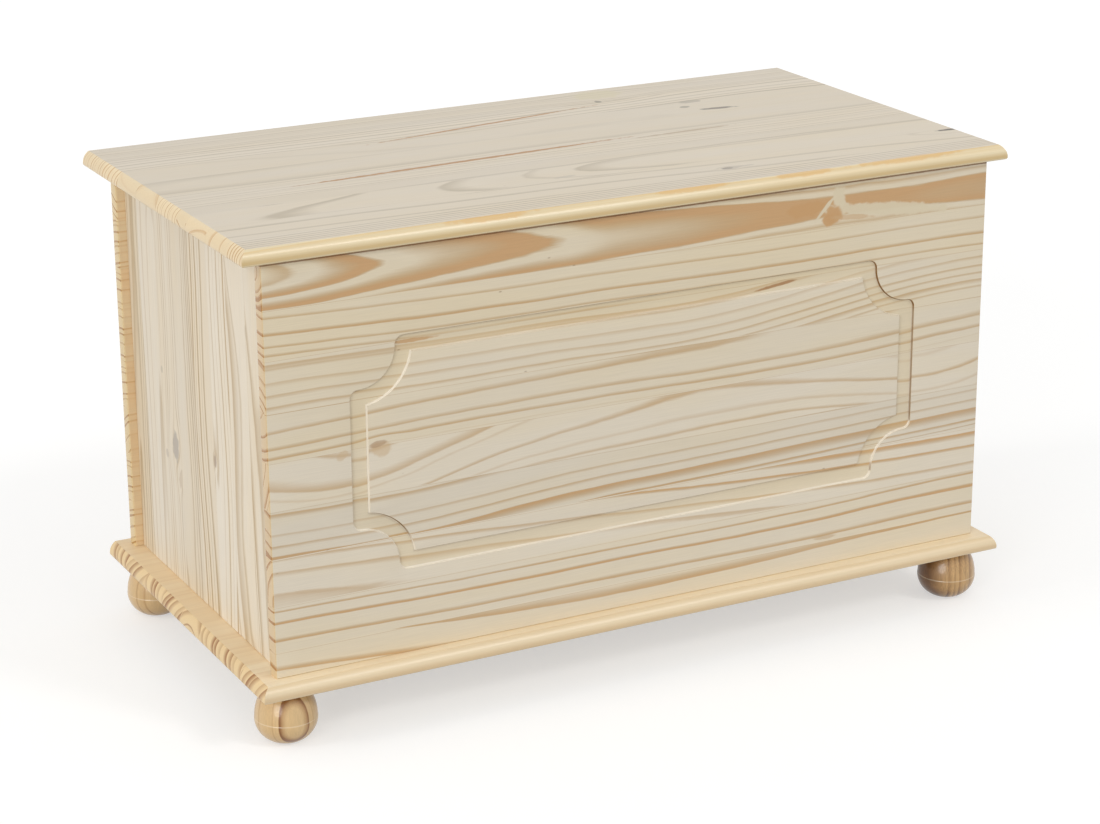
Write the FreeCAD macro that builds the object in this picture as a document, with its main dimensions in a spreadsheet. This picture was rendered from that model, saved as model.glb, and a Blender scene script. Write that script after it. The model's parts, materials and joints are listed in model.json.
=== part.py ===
import FreeCAD, Part
import os

import Sketcher
from FreeCAD import Placement, Rotation, Vector

# Toy chest in pine: a nosed lid and base, a framed carcass of four panels, turned feet,
# butt hinges at the back and two slotted friction stays inside.
# Millimetres, +Z up, +X to the right seen from the front, -Y towards the viewer.
# The origin is on the floor, in the middle of the chest's outline.

doc = FreeCAD.newDocument("toy_chest")
dims = doc.addObject("Spreadsheet::Sheet", "dims")

driving = {
    # lid and base boards, alike
    "board_width": 830,
    "board_depth": 430,
    "board_thickness": 15,
    "nose_radius": 14,
    "nose_centre": 3,
    "nose_foot": 2.5,
    # carcass
    "carcass_width": 790,
    "carcass_depth": 400,
    "panel_height": 403,
    "side_recess": 9,
    "arris": 1.2,
    "base_front_overhang": 19,
    "lid_front_overhang": 7,
    "lid_gap": 1,
    # routed groove of the front panel, measured on the cutter's path
    "groove_half_width": 303.3,
    "groove_half_height": 107.4,
    "scoop_radius": 46.6,
    "cutter_radius": 8.6,
    "groove_depth": 3.5,
    # turned feet
    "foot_height": 56,
    "foot_radius": 30.5,
    "foot_lower_radius": 30.2,
    "foot_line_height": 24,
    "foot_line_width": 1,
    "foot_line_depth": 0.7,
    "foot_top_radius": 17.5,
    "foot_flat_radius": 13,
    "foot_inset_side": 36,
    "foot_inset_front": 38.5,
    # dowel screws of the feet
    "foot_screw_radius": 3,
    "foot_screw_point_share": 0.4,
    "foot_screw_in_base": 11,
    "foot_screw_in_foot": 26,
    # corner joints
    "dowel_radius": 4,
    "dowel_point_share": 0.75,
    "dowel_point_height": 1.6,
    "dowel_in_panel": 10,
    "dowel_in_side": 20,
    "dowel_end": 25,
    "cam_radius": 7.5,
    "cam_depth": 12,
    "cam_setback": 24,
    "cam_end": 62,
    "cam_slot_width": 1.6,
    "cam_slot_length": 9,
    "cam_slot_depth": 2.5,
    "cam_bolt_radius": 2.5,
    "cam_bolt_neck": 1.6,
    "cam_bolt_head": 3.2,
    "cam_bolt_head_height": 2.6,
    "cam_bolt_point_share": 0.6,
    "cam_bolt_in_panel": 11,
    "cam_mouth": 3.6,
    # screws
    "screw_radius": 2,
    "screw_head": 4,
    "screw_head_height": 2.4,
    "base_screw_length": 40,
    "base_screw_place": 300,
    "side_screw_place": 92,
    "batten_screw_length": 25,
    "small_screw_radius": 1.5,
    "small_screw_head": 2.8,
    "small_screw_length": 12,
    "screw_point_share": 0.3,
    # cross recess of a screw, as shares of its head's radius
    "recess_reach_share": 0.58,
    "recess_width_share": 0.26,
    "recess_depth_share": 0.3,
    "fit": 0.05,
    # battens under the lid
    "batten_length": 330,
    "batten_width": 45,
    "batten_thickness": 15,
    "batten_place": 250,
    "batten_screw_pitch": 130,
    "batten_round": 4,
    # hinges
    "hinge_place": 250,
    "hinge_offset": 3.3,
    "leaf_thickness": 1.2,
    "leaf_width": 18.5,
    "knuckle_radius": 3,
    "knuckle_length": 10,
    "knuckle_gap": 0.4,
    "pin_radius": 1.5,
    "pin_head": 2.4,
    "pin_head_height": 0.8,
    "leaf_screw_pitch": 17,
    "leaf_screw_reach": 11.5,
    # lid stays: the stud and the pivot lie on one circle about the hinge axis
    "stay_circle": 150,
    "stay_pivot_drop": 11,
    "stay_stud_drop": 84,
    "stay_thickness": 2,
    "stay_half_width": 8,
    "stay_open_reach": 260.2,
    "stay_gap": 0.3,
    "stud_radius": 3,
    "stud_thread": 2.2,
    "stud_in_side": 11,
    "stud_head": 6,
    "stud_head_height": 2.4,
    "stud_dome_share": 0.75,
    "slot_clearance": 0.3,
    "slot_spare": 2,
    "washer_radius": 7.5,
    "washer_thick": 3,
    "washer_thin": 1,
    "rivet_radius": 3,
    "rivet_head": 5.5,
    "rivet_head_height": 1.5,
    "rivet_dome_share": 0.6,
    "bracket_width": 34,
    "bracket_foot": 22,
    "bracket_bend": 3,
    "bracket_eye": 9,
    "bracket_screw_pitch": 20,
    "bracket_screw_inset": 12,
    # pads that the lid closes on
    "buffer_radius": 5,
    "buffer_place": 340,
}
for row, (alias, value) in enumerate(driving.items(), start=1):
    dims.set(f"A{row}", alias)
    dims.set(f"B{row}", str(value))
    dims.setAlias(f"B{row}", alias)
doc.recompute()


def size(alias):
    """The number in one cell of the sheet."""
    return float(dims.get(alias))


# Levels and faces that several pieces share, as expressions of the sheet's cells.
base_bottom = "dims.foot_height"
base_top = f"({base_bottom} + dims.board_thickness)"
panel_top = f"({base_top} + dims.panel_height)"
panel_middle = f"({base_top} + dims.panel_height / 2)"
lid_bottom = f"({panel_top} + dims.lid_gap)"
base_front = "(-(dims.board_depth + dims.base_front_overhang - dims.lid_front_overhang) / 2)"
front_face = f"({base_front} + dims.base_front_overhang)"
front_inner = f"({front_face} + dims.board_thickness)"
back_face = f"({front_face} + dims.carcass_depth)"
back_inner = f"({back_face} - dims.board_thickness)"
lid_front = f"({front_face} - dims.lid_front_overhang)"
side_outer = "(dims.carcass_width / 2 - dims.side_recess)"
side_inner = f"({side_outer} - dims.board_thickness)"
side_middle = f"({side_outer} - dims.board_thickness / 2)"
front_middle = f"({front_face} + dims.board_thickness / 2)"
back_middle = f"({back_face} - dims.board_thickness / 2)"
hinge_y = f"({back_face} + dims.hinge_offset)"
hinge_z = f"({lid_bottom} - dims.hinge_offset)"

nodes = []
close = 1e-6
start, end, centre = 1, 2, 3
origin_point = (-1, 1)
level_axis, upright_axis = -1, -2
left_right = (("left", "-"), ("right", "+"))
turns = {
    "+x": Rotation(Vector(0, 1, 0), 90),
    "-x": Rotation(Vector(0, 1, 0), -90),
    "+y": Rotation(Vector(1, 0, 0), -90),
    "-y": Rotation(Vector(1, 0, 0), 90),
    "+z": Rotation(),
    "-z": Rotation(Vector(1, 0, 0), 180),
}


def bind(thing, **sizes):
    """Tie properties of an object to expressions."""
    for name, expression in sizes.items():
        thing.setExpression(name, expression)


def place(thing, x, y, z):
    """Tie an object's place to expressions, leaving its turn alone."""
    for letter, expression in zip("xyz", (x, y, z)):
        thing.setExpression(f"Placement.Base.{letter}", expression)


def node(thing):
    """Mark an object as a finished sub-part, written under its label."""
    nodes.append(thing)
    return thing


def box(name, x, y, z, length, width, height):
    """A block from its low corner."""
    block = doc.addObject("Part::Box", name)
    bind(block, Length=length, Width=width, Height=height)
    place(block, x, y, z)
    return block


def fuse(name, solids):
    """One solid of several that meet."""
    joined = doc.addObject("Part::MultiFuse", name)
    joined.Shapes = solids
    return joined


def cut(name, base, tools):
    """A solid less the tools."""
    result = doc.addObject("Part::Cut", name)
    result.Base = base
    result.Tool = tools[0] if len(tools) == 1 else fuse(f"{name}_tools", tools)
    return result


def group(name, solids):
    """Like pieces that share a node and stay separate solids."""
    together = doc.addObject("Part::Compound", name)
    together.Links = solids
    return together


def turned(name, at, axis, stages, grow="0"):
    """Coaxial stages (start radius, end radius, length) end to end along an axis from a point."""
    solids = []
    run = "0"
    for number, (near, far, length) in enumerate(stages):
        kind = "Part::Cylinder" if near == far else "Part::Cone"
        stage = doc.addObject(kind, f"{name}_stage_{number}")
        stage.Placement = Placement(Vector(), turns[axis])
        if near == far:
            bind(stage, Radius=f"{near} + {grow}", Height=length)
        else:
            bind(stage, Radius1=f"{near} + {grow}", Radius2=f"{far} + {grow}", Height=length)
        spot = dict(zip("xyz", at))
        spot[axis[1]] = f"{spot[axis[1]]} {axis[0]} ({run})"
        place(stage, **spot)
        solids.append(stage)
        run = f"{run} + {length}"
    return solids[0] if len(solids) == 1 else fuse(name, solids)


def fastener(name, at, axis, stages):
    """A fastener and the bore that takes it, a hair wider all round."""
    bore = turned(f"{name}_bore", at, axis, stages, grow="dims.fit")
    return turned(name, at, axis, stages), bore


def cross_recess(name, at, axis, head):
    """Two crossed slots for the driver, centred on a screw head's flat and as deep outside it as inside."""
    blades = []
    for long_way in "xyz".replace(axis[1], ""):
        sizes = dict.fromkeys("xyz", f"(dims.recess_width_share * {head})")
        sizes[axis[1]] = f"(2 * dims.recess_depth_share * {head})"
        sizes[long_way] = f"(2 * dims.recess_reach_share * {head})"
        low = [f"{middle} - {width} / 2" for middle, width in zip(at, sizes.values())]
        blades.append(box(f"{name}_recess_{long_way}", *low, *sizes.values()))
    return blades


def wood_screw(name, at, axis, prefix, head_height, length):
    """A countersunk screw driven along the axis, its head's flat at the point, and its bore."""
    head = f"dims.{prefix}_head"
    shank = f"dims.{prefix}_radius"
    tip = f"2 * {shank}"
    stages = (
        (head, shank, head_height),
        (shank, shank, f"({length} - {head_height} - {tip})"),
        (shank, f"dims.screw_point_share * {shank}", tip),
    )
    blank, bore = fastener(f"{name}_blank", at, axis, stages)
    return cut(name, blank, cross_recess(name, at, axis, head)), bore


def origin_plane(body, role):
    """One of a body's own base planes."""
    return next(plane for plane in body.Origin.OriginFeatures if plane.Role == role)


def sketch_on(body, name, role):
    """An empty sketch on one of a body's base planes."""
    sketch = body.newObject("Sketcher::SketchObject", name)
    sketch.AttachmentSupport = [(origin_plane(body, role), "")]
    sketch.MapMode = "FlatFace"
    return sketch


def line(first, last):
    """A straight stretch of an outline."""
    return Part.LineSegment(Vector(*first), Vector(*last))


def arc(first, last, middle):
    """A round stretch of an outline about a centre, the short way or anticlockwise for a half turn."""
    begin = Vector(*first) - Vector(*middle)
    finish = Vector(*last) - Vector(*middle)
    if begin.cross(finish).z < -close:
        begin, finish = finish, begin
    circle = Part.Circle(Vector(*middle), Vector(0, 0, 1), begin.Length)
    return Part.ArcOfCircle(
        circle,
        circle.parameter(Vector(*middle) + begin),
        circle.parameter(Vector(*middle) + finish),
    )


def heading(edge, which):
    """The direction of an edge at its start or end."""
    if isinstance(edge, Part.LineSegment):
        return (edge.EndPoint - edge.StartPoint).normalize()
    point = edge.StartPoint if which == start else edge.EndPoint
    return Vector(0, 0, 1).cross(point - edge.Center).normalize()


def outline(sketch, edges, squared=True):
    """Draw a closed outline: ends joined, smooth joins tangent, level and plumb lines held so."""
    first = sketch.GeometryCount
    sketch.addGeometry(edges, False)
    for number, edge in enumerate(edges):
        after = (number + 1) % len(edges)
        here, there = next(
            (mine, next_one)
            for mine, point in ((end, edge.EndPoint), (start, edge.StartPoint))
            for next_one, other in ((start, edges[after].StartPoint), (end, edges[after].EndPoint))
            if point.distanceToPoint(other) < close
        )
        smooth = heading(edge, here).cross(heading(edges[after], there)).Length < close
        kind = "Tangent" if smooth else "Coincident"
        sketch.addConstraint(Sketcher.Constraint(kind, first + number, here, first + after, there))
        if squared and isinstance(edge, Part.LineSegment):
            along = heading(edge, start)
            if abs(along.y) < close:
                sketch.addConstraint(Sketcher.Constraint("Horizontal", first + number))
            elif abs(along.x) < close:
                sketch.addConstraint(Sketcher.Constraint("Vertical", first + number))


def radius_of(sketch, name, curve, expression):
    """A named radius of a sketch's arc or circle, tied to an expression."""
    index = sketch.addConstraint(Sketcher.Constraint("Radius", curve, sketch.Geometry[curve].Radius))
    sketch.renameConstraint(index, name)
    sketch.setExpression(f"Constraints.{name}", expression)


def distance(sketch, name, letter, one, other, expression):
    """A named level (X) or plumb (Y) distance from one point of a sketch to another, tied likewise."""
    gap = sketch.getPoint(*other) - sketch.getPoint(*one)
    value = gap.x if letter == "X" else gap.y
    index = sketch.addConstraint(Sketcher.Constraint(f"Distance{letter}", *one, *other, value))
    sketch.renameConstraint(index, name)
    sketch.setExpression(f"Constraints.{name}", expression)


def pad(body, sketch, length, symmetric=False):
    """Raise a sketch into a solid."""
    raised = body.newObject("PartDesign::Pad", f"{body.Name}_pad")
    raised.Profile = sketch
    raised.SideType = "Symmetric" if symmetric else "One side"
    bind(raised, Length=length)
    return raised


def rounded(body, base, edges, radius):
    """Round the named edges of a body's last feature."""
    doc.recompute()
    fillet = body.newObject("PartDesign::Fillet", f"{body.Name}_rounding")
    names = [f"Edge{i}" for i, edge in enumerate(base.Shape.Edges, start=1) if edges(edge)]
    fillet.Base = (base, names)
    bind(fillet, Radius=radius)
    return fillet


def nosed_board(name, y, z):
    """A glued board with a moulded nose on the front and both ends, square at the back.

    The nose is one large round that meets the flat top at a crisp edge, above a small round.
    """
    thick = size("board_thickness")
    depth = size("board_depth")
    half = size("board_width") / 2
    nose = size("nose_radius")
    rise = size("nose_centre")
    foot = size("nose_foot")
    inset = nose - (nose ** 2 - (thick - rise) ** 2) ** 0.5
    waste = 2 * thick

    body = doc.addObject("PartDesign::Body", name)
    section = sketch_on(body, f"{name}_section", "YZ_Plane")
    outline(section, [
        line((depth, 0), (foot, 0)),
        arc((foot, 0), (0, foot), (foot, foot)),
        line((0, foot), (0, rise)),
        arc((0, rise), (inset, thick), (nose, rise)),
        line((inset, thick), (depth, thick)),
        line((depth, thick), (depth, 0)),
    ])
    section.addConstraint(Sketcher.Constraint("PointOnObject", 2, start, upright_axis))
    section.addConstraint(Sketcher.Constraint("PointOnObject", 0, start, level_axis))
    distance(section, "depth", "X", (2, start), (0, start), "dims.board_depth")
    distance(section, "thickness", "Y", (0, start), (4, end), "dims.board_thickness")
    distance(section, "rise", "Y", origin_point, (3, centre), "dims.nose_centre")
    radius_of(section, "nose", 3, "dims.nose_radius")
    radius_of(section, "foot", 1, "dims.nose_foot")
    blank = pad(body, section, "dims.board_width", symmetric=True)

    ending = sketch_on(body, f"{name}_ending", "XZ_Plane")
    outline(ending, [
        line((half - foot, -waste), (half - foot, 0)),
        arc((half - foot, 0), (half, foot), (half - foot, foot)),
        line((half, foot), (half, rise)),
        arc((half, rise), (half - inset, thick), (half - nose, rise)),
        line((half - inset, thick), (half - inset, waste)),
        line((half - inset, waste), (half + waste, waste)),
        line((half + waste, waste), (half + waste, -waste)),
        line((half + waste, -waste), (half - foot, -waste)),
    ])
    ending.addConstraint(Sketcher.Constraint("Vertical", 0, end, 1, centre))
    distance(ending, "half", "X", origin_point, (2, start), "dims.board_width / 2")
    distance(ending, "thickness", "Y", origin_point, (4, start), "dims.board_thickness")
    distance(ending, "rise", "Y", origin_point, (3, centre), "dims.nose_centre")
    distance(ending, "foot_rise", "Y", origin_point, (1, centre), "dims.nose_foot")
    radius_of(ending, "nose", 3, "dims.nose_radius")
    radius_of(ending, "foot", 1, "dims.nose_foot")
    distance(ending, "above", "Y", origin_point, (5, start), "2 * dims.board_thickness")
    distance(ending, "below", "Y", (7, start), origin_point, "2 * dims.board_thickness")
    distance(ending, "beyond", "X", (2, start), (6, start), "2 * dims.board_thickness")
    nosing = body.newObject("PartDesign::Pocket", f"{name}_nosing")
    nosing.Profile = ending
    nosing.Type = "ThroughAll"
    nosing.SideType = "Symmetric"
    other_end = body.newObject("PartDesign::Mirrored", f"{name}_other_end")
    other_end.Originals = [nosing]
    other_end.MirrorPlane = (origin_plane(body, "YZ_Plane"), [""])
    body.Tip = other_end
    place(body, "0", y, z)
    doc.recompute()
    assert other_end.Shape.Volume < nosing.Shape.Volume < blank.Shape.Volume
    return body


def eased_board(name, at, width, depth, height, radius, edges=lambda edge: True):
    """A plain board with the sharp edges taken off."""
    body = doc.addObject("PartDesign::Body", name)
    section = sketch_on(body, f"{name}_section", "XY_Plane")
    rough = size("board_thickness")
    corners = [(0, 0), (rough, 0), (rough, rough), (0, rough)]
    outline(section, [line(corners[i - 1], corners[i]) for i in (1, 2, 3, 0)])
    section.addConstraint(Sketcher.Constraint("Coincident", 0, start, *origin_point))
    distance(section, "width", "X", (0, start), (0, end), width)
    distance(section, "depth", "Y", (1, start), (1, end), depth)
    board = pad(body, section, height)
    rounded(body, board, edges, radius)
    place(body, *at)
    return body


def groove_ring():
    """The routed groove: a rectangle with scooped corners, swept by a round cutter.

    The cutter's path is offset both ways by the cutter's radius, so the outer wall is rounded at each
    turn and the inner wall is sharp.
    """
    half_width = size("groove_half_width")
    half_height = size("groove_half_height")
    scoop = size("scoop_radius")
    path = doc.addObject("Sketcher::SketchObject", "groove_path")
    path.Placement = Placement(Vector(), Rotation(Vector(1, 0, 0), 90))
    place(path, "0", front_face, panel_middle)
    edges = []
    corners = ((1, 1), (-1, 1), (-1, -1), (1, -1))
    for number, (right, up) in enumerate(corners):
        middle = (right * half_width, up * half_height)
        on_level = (middle[0] - right * scoop, middle[1])
        on_upright = (middle[0], middle[1] - up * scoop)
        next_right, next_up = corners[(number + 1) % 4]
        ends = (on_upright, on_level) if number % 2 == 0 else (on_level, on_upright)
        edges.append(arc(*ends, middle))
        leave = ends[1]
        arrive = (next_right * abs(leave[0]), leave[1]) if number % 2 == 0 else (leave[0], -leave[1])
        edges.append(line(leave, arrive))
    outline(path, edges, squared=False)
    for number, (right, up) in enumerate(corners):
        curve = 2 * number
        level_end, upright_end = (start, end)
        if abs(path.getPoint(curve, start).y - path.getPoint(curve, centre).y) > close:
            level_end, upright_end = (end, start)
        path.addConstraint(Sketcher.Constraint("Horizontal", curve, level_end, curve, centre))
        path.addConstraint(Sketcher.Constraint("Vertical", curve, upright_end, curve, centre))
        radius_of(path, f"scoop_{number}", curve, "dims.scoop_radius")
        across = (origin_point, (curve, centre)) if right > 0 else ((curve, centre), origin_point)
        upward = (origin_point, (curve, centre)) if up > 0 else ((curve, centre), origin_point)
        distance(path, f"across_{number}", "X", *across, "dims.groove_half_width")
        distance(path, f"upward_{number}", "Y", *upward, "dims.groove_half_height")

    walls = []
    for name, sign in (("groove_outer", ""), ("groove_inner", "-")):
        wall = doc.addObject("Part::Offset2D", f"{name}_wall")
        wall.Source = path
        wall.Join = "Arc"
        wall.Fill = False
        bind(wall, Value=f"{sign}dims.cutter_radius")
        plug = doc.addObject("Part::Extrusion", name)
        plug.Base = wall
        plug.DirMode = "Custom"
        plug.Dir = Vector(0, 1, 0)
        plug.Solid = True
        bind(plug, LengthFwd="dims.groove_depth", LengthRev="dims.groove_depth")
        walls.append(plug)
    return cut("groove_ring", walls[0], walls[1:])


def foot(name, x, y):
    """A turned ball foot: a fuller upper curve, a scored line, a rounder lower curve, a flat to stand on."""
    height = size("foot_height")
    widest = size("foot_radius")
    lower = size("foot_lower_radius")
    score = size("foot_line_height")
    half_score = size("foot_line_width") / 2
    root = lower - size("foot_line_depth")
    top = size("foot_top_radius")
    flat = size("foot_flat_radius")
    pilot = size("foot_screw_radius") + size("fit")
    pilot_end = height - size("foot_screw_in_foot") - size("fit")

    def plumb_arc(first, last, level_with):
        """An arc that runs upright at one end: its centre is level with that end."""
        far = last if level_with == first else first
        run = level_with[0] - far[0]
        rise = far[1] - level_with[1]
        bend = (run ** 2 + rise ** 2) / (2 * run)
        return arc(first, last, (level_with[0] - bend, level_with[1]))

    below = (lower, score - half_score)
    above = (widest, score + half_score)
    body = doc.addObject("PartDesign::Body", name)
    half = sketch_on(body, f"{name}_half", "XZ_Plane")
    outline(half, [
        line((0, 0), (flat, 0)),
        plumb_arc((flat, 0), below, below),
        line(below, (root, score)),
        line((root, score), above),
        plumb_arc(above, (top, height), above),
        line((top, height), (pilot, height)),
        line((pilot, height), (pilot, pilot_end)),
        line((pilot, pilot_end), (0, pilot_end)),
        line((0, pilot_end), (0, 0)),
    ])
    half.addConstraint(Sketcher.Constraint("Coincident", 0, start, *origin_point))
    half.addConstraint(Sketcher.Constraint("Horizontal", 1, centre, 2, start))
    half.addConstraint(Sketcher.Constraint("Horizontal", 4, centre, 3, end))
    distance(half, "flat", "X", (0, start), (0, end), "dims.foot_flat_radius")
    distance(half, "lower", "X", origin_point, (2, start), "dims.foot_lower_radius")
    distance(half, "widest", "X", origin_point, (3, end), "dims.foot_radius")
    distance(half, "root", "X", (3, start), (2, start), "dims.foot_line_depth")
    distance(half, "score", "Y", origin_point, (3, start), "dims.foot_line_height")
    distance(half, "score_below", "Y", (2, start), (2, end), "dims.foot_line_width / 2")
    distance(half, "score_above", "Y", (3, start), (3, end), "dims.foot_line_width / 2")
    distance(half, "top", "X", origin_point, (5, start), "dims.foot_top_radius")
    distance(half, "height", "Y", origin_point, (5, start), "dims.foot_height")
    distance(half, "pilot", "X", origin_point, (6, start), "dims.foot_screw_radius + dims.fit")
    distance(half, "pilot_depth", "Y", (6, end), (6, start), "dims.foot_screw_in_foot + dims.fit")
    turning = body.newObject("PartDesign::Revolution", f"{name}_turning")
    turning.Profile = half
    turning.ReferenceAxis = (half, ["V_Axis"])
    turning.Angle = 360
    place(body, x, y, "0")
    return node(body)


# Feet and their dowel screws
foot_x = "(dims.board_width / 2 - dims.foot_inset_side)"
foot_rows = {
    "front": f"({base_front} + dims.foot_inset_front)",
    "back": f"({base_front} + dims.board_depth - dims.foot_inset_front)",
}
foot_screws = []
for row, y in foot_rows.items():
    for side, sign in left_right:
        foot(f"foot_{row}_{side}", f"{sign}{foot_x}", y)
        blunt = ("dims.foot_screw_point_share * dims.foot_screw_radius", "dims.foot_screw_radius",
                 "dims.foot_screw_radius")
        shank = ("dims.foot_screw_radius", "dims.foot_screw_radius",
                 "(dims.foot_screw_in_base + dims.foot_screw_in_foot - 2 * dims.foot_screw_radius)")
        foot_screws.append(fastener(
            f"foot_screw_{row}_{side}", (f"{sign}{foot_x}", y, f"{base_bottom} + dims.foot_screw_in_base"),
            "-z", (blunt, shank, (blunt[1], blunt[0], blunt[2]))))
node(group("foot_screws", [screw for screw, bore in foot_screws]))

# Screws up through the base into the four panels
rows = [(f"{place_x} * dims.base_screw_place", y, owner)
        for owner, y in (("front", front_middle), ("back", back_middle)) for place_x in (-1, 0, 1)]
rows += [(f"{sign}{side_middle}", y, side) for side, sign in left_right
         for y in (f"({front_inner} + dims.side_screw_place)", f"({back_inner} - dims.side_screw_place)")]
base_screws = [
    (owner, *wood_screw(f"base_screw_{number}", (x, y, base_bottom), "+z", "screw",
                        "dims.screw_head_height", "dims.base_screw_length"))
    for number, (x, y, owner) in enumerate(rows)
]
node(group("base_screws", [screw for owner, screw, bore in base_screws]))
edge_bores = {owner: [bore for other, screw, bore in base_screws if other == owner]
              for owner in ("front", "back", "left", "right")}

# Corner joints: dowels and cam fittings between the side panels and the front and back panels
dowels, cam_bolts, cams = [], [], []
corner_rows = {"front": (front_inner, "+y", "-"), "back": (back_inner, "-y", "+")}
dowel_levels = ("dims.dowel_end", "dims.panel_height / 2", "dims.panel_height - dims.dowel_end")
cam_levels = ("dims.cam_end", "dims.panel_height - dims.cam_end")
for row, (face, inward, outward) in corner_rows.items():
    for side, sign in left_right:
        x = f"{sign}{side_middle}"
        for number, level in enumerate(dowel_levels):
            taper = ("dims.dowel_point_share * dims.dowel_radius", "dims.dowel_radius",
                     "dims.dowel_point_height")
            middle = ("dims.dowel_radius", "dims.dowel_radius",
                      "(dims.dowel_in_panel + dims.dowel_in_side - 2 * dims.dowel_point_height)")
            dowel, bore = fastener(
                f"dowel_{row}_{side}_{number}",
                (x, f"({face} {outward} dims.dowel_in_panel)", f"({base_top} + {level})"),
                inward, (taper, middle, (taper[1], taper[0], taper[2])))
            dowels.append(dowel)
            edge_bores[row].append(bore)
            edge_bores[side].append(bore)
        for number, level in enumerate(cam_levels):
            z = f"({base_top} + {level})"
            name = f"{row}_{side}_{number}"
            neck = "2 * dims.cam_bolt_head"
            bolt, bore = fastener(
                f"cam_bolt_{name}", (x, f"({face} {outward} dims.cam_bolt_in_panel)", z), inward, (
                    ("dims.cam_bolt_radius", "dims.cam_bolt_radius",
                     f"(dims.cam_bolt_in_panel + dims.cam_setback - {neck})"),
                    ("dims.cam_bolt_neck", "dims.cam_bolt_neck", neck),
                    ("dims.cam_bolt_head", "dims.cam_bolt_point_share * dims.cam_bolt_head",
                     "dims.cam_bolt_head_height")))
            cam_bolts.append(bolt)
            edge_bores[row].append(bore)
            mouth = turned(f"cam_mouth_{name}", (x, face, z), inward, (
                ("dims.cam_mouth", "dims.cam_mouth", "(dims.cam_setback + dims.cam_bolt_head)"),))
            cam_y = f"({face} {inward[0]} dims.cam_setback)"
            barrel, pocket = fastener(
                f"cam_barrel_{name}", (f"{sign}{side_inner}", cam_y, z), f"{sign}x",
                (("dims.cam_radius", "dims.cam_radius", "dims.cam_depth"),))
            slot_x = f"{sign}{side_inner} - dims.cam_slot_depth"
            slots = [
                box(f"cam_slot_{name}_{along}", slot_x, f"{cam_y} - {width} / 2", f"{z} - {height} / 2",
                    "2 * dims.cam_slot_depth", width, height)
                for along, width, height in (
                    ("level", "dims.cam_slot_length", "dims.cam_slot_width"),
                    ("upright", "dims.cam_slot_width", "dims.cam_slot_length"))
            ]
            cams.append(cut(f"cam_{name}", barrel, [mouth, *slots]))
            edge_bores[side] += [mouth, pocket]
node(group("corner_dowels", dowels))
node(group("cam_bolts", cam_bolts))
node(group("cam_locks", cams))

# Hinges: one leaf on the back panel's rear face, one under the lid's rear overhang
knuckles = 5
hinge_back_screws, hinge_lid_screws = [], []
for side, sign in left_right:
    hinge_start = f"({sign}dims.hinge_place - {knuckles} / 2 * dims.knuckle_length)"
    pin_at = (f"({hinge_start} - dims.pin_head_height)", hinge_y, hinge_z)
    pin_end = ("dims.pin_head", "dims.pin_head", "dims.pin_head_height")
    pin_run = ("dims.pin_radius", "dims.pin_radius", f"({knuckles} * dims.knuckle_length)")
    pin, pin_bore = fastener(f"{side}_hinge_pin", pin_at, "+x", (pin_end, pin_run, pin_end))
    node(pin)
    plate_x = f"{hinge_start} + dims.knuckle_gap / 2"
    plate_length = f"({knuckles} * dims.knuckle_length - dims.knuckle_gap)"
    clear = "(dims.knuckle_radius + dims.knuckle_gap)"
    leaves = {
        "back": (
            box(f"{side}_back_plate", plate_x, back_face, f"{hinge_z} - dims.leaf_width",
                plate_length, "dims.leaf_thickness", "dims.leaf_width"),
            (f"{back_face} - dims.leaf_thickness", f"{hinge_z} - {clear}",
             "3 * dims.leaf_thickness", f"2 * {clear}"), (0, 2, 4)),
        "lid": (
            box(f"{side}_lid_plate", plate_x, hinge_y, f"{lid_bottom} - dims.leaf_thickness",
                plate_length, "dims.leaf_width", "dims.leaf_thickness"),
            (f"{hinge_y} - {clear}", f"{lid_bottom} - 2 * dims.leaf_thickness",
             f"2 * {clear}", "3 * dims.leaf_thickness"), (1, 3)),
    }
    for part, (plate, (notch_y, notch_z, notch_width, notch_height), own) in leaves.items():
        name = f"{side}_hinge_{part}_leaf"
        notches = [
            box(f"{name}_notch_{k}", f"{hinge_start} + {k} * dims.knuckle_length - dims.knuckle_gap / 2",
                notch_y, notch_z, "dims.knuckle_length + dims.knuckle_gap", notch_width, notch_height)
            for k in range(knuckles) if k not in own
        ]
        rolls = [
            turned(f"{name}_knuckle_{k}", (
                f"{hinge_start} + {k} * dims.knuckle_length + dims.knuckle_gap / 2", hinge_y, hinge_z),
                "+x", (("dims.knuckle_radius", "dims.knuckle_radius",
                        "(dims.knuckle_length - dims.knuckle_gap)"),))
            for k in own
        ]
        blank = fuse(f"{name}_blank", [cut(f"{name}_plate", plate, notches), *rolls])
        bores = []
        for k in (-1, 0, 1):
            x = f"({sign}dims.hinge_place + {k} * dims.leaf_screw_pitch)"
            if part == "back":
                at = (x, f"({back_face} + dims.leaf_thickness)", f"({hinge_z} - dims.leaf_screw_reach)")
                way, holder = "-y", hinge_back_screws
            else:
                at = (x, f"({hinge_y} + dims.leaf_screw_reach)", f"({lid_bottom} - dims.leaf_thickness)")
                way, holder = "+z", hinge_lid_screws
            screw, bore = wood_screw(f"{name}_screw_{k + 1}", at, way, "small_screw",
                                     "dims.leaf_thickness", "dims.small_screw_length")
            holder.append((screw, bore))
            bores.append(bore)
        node(cut(name, blank, [pin_bore, *bores]))
node(group("hinge_back_screws", [screw for screw, bore in hinge_back_screws]))
node(group("hinge_lid_screws", [screw for screw, bore in hinge_lid_screws]))

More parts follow.
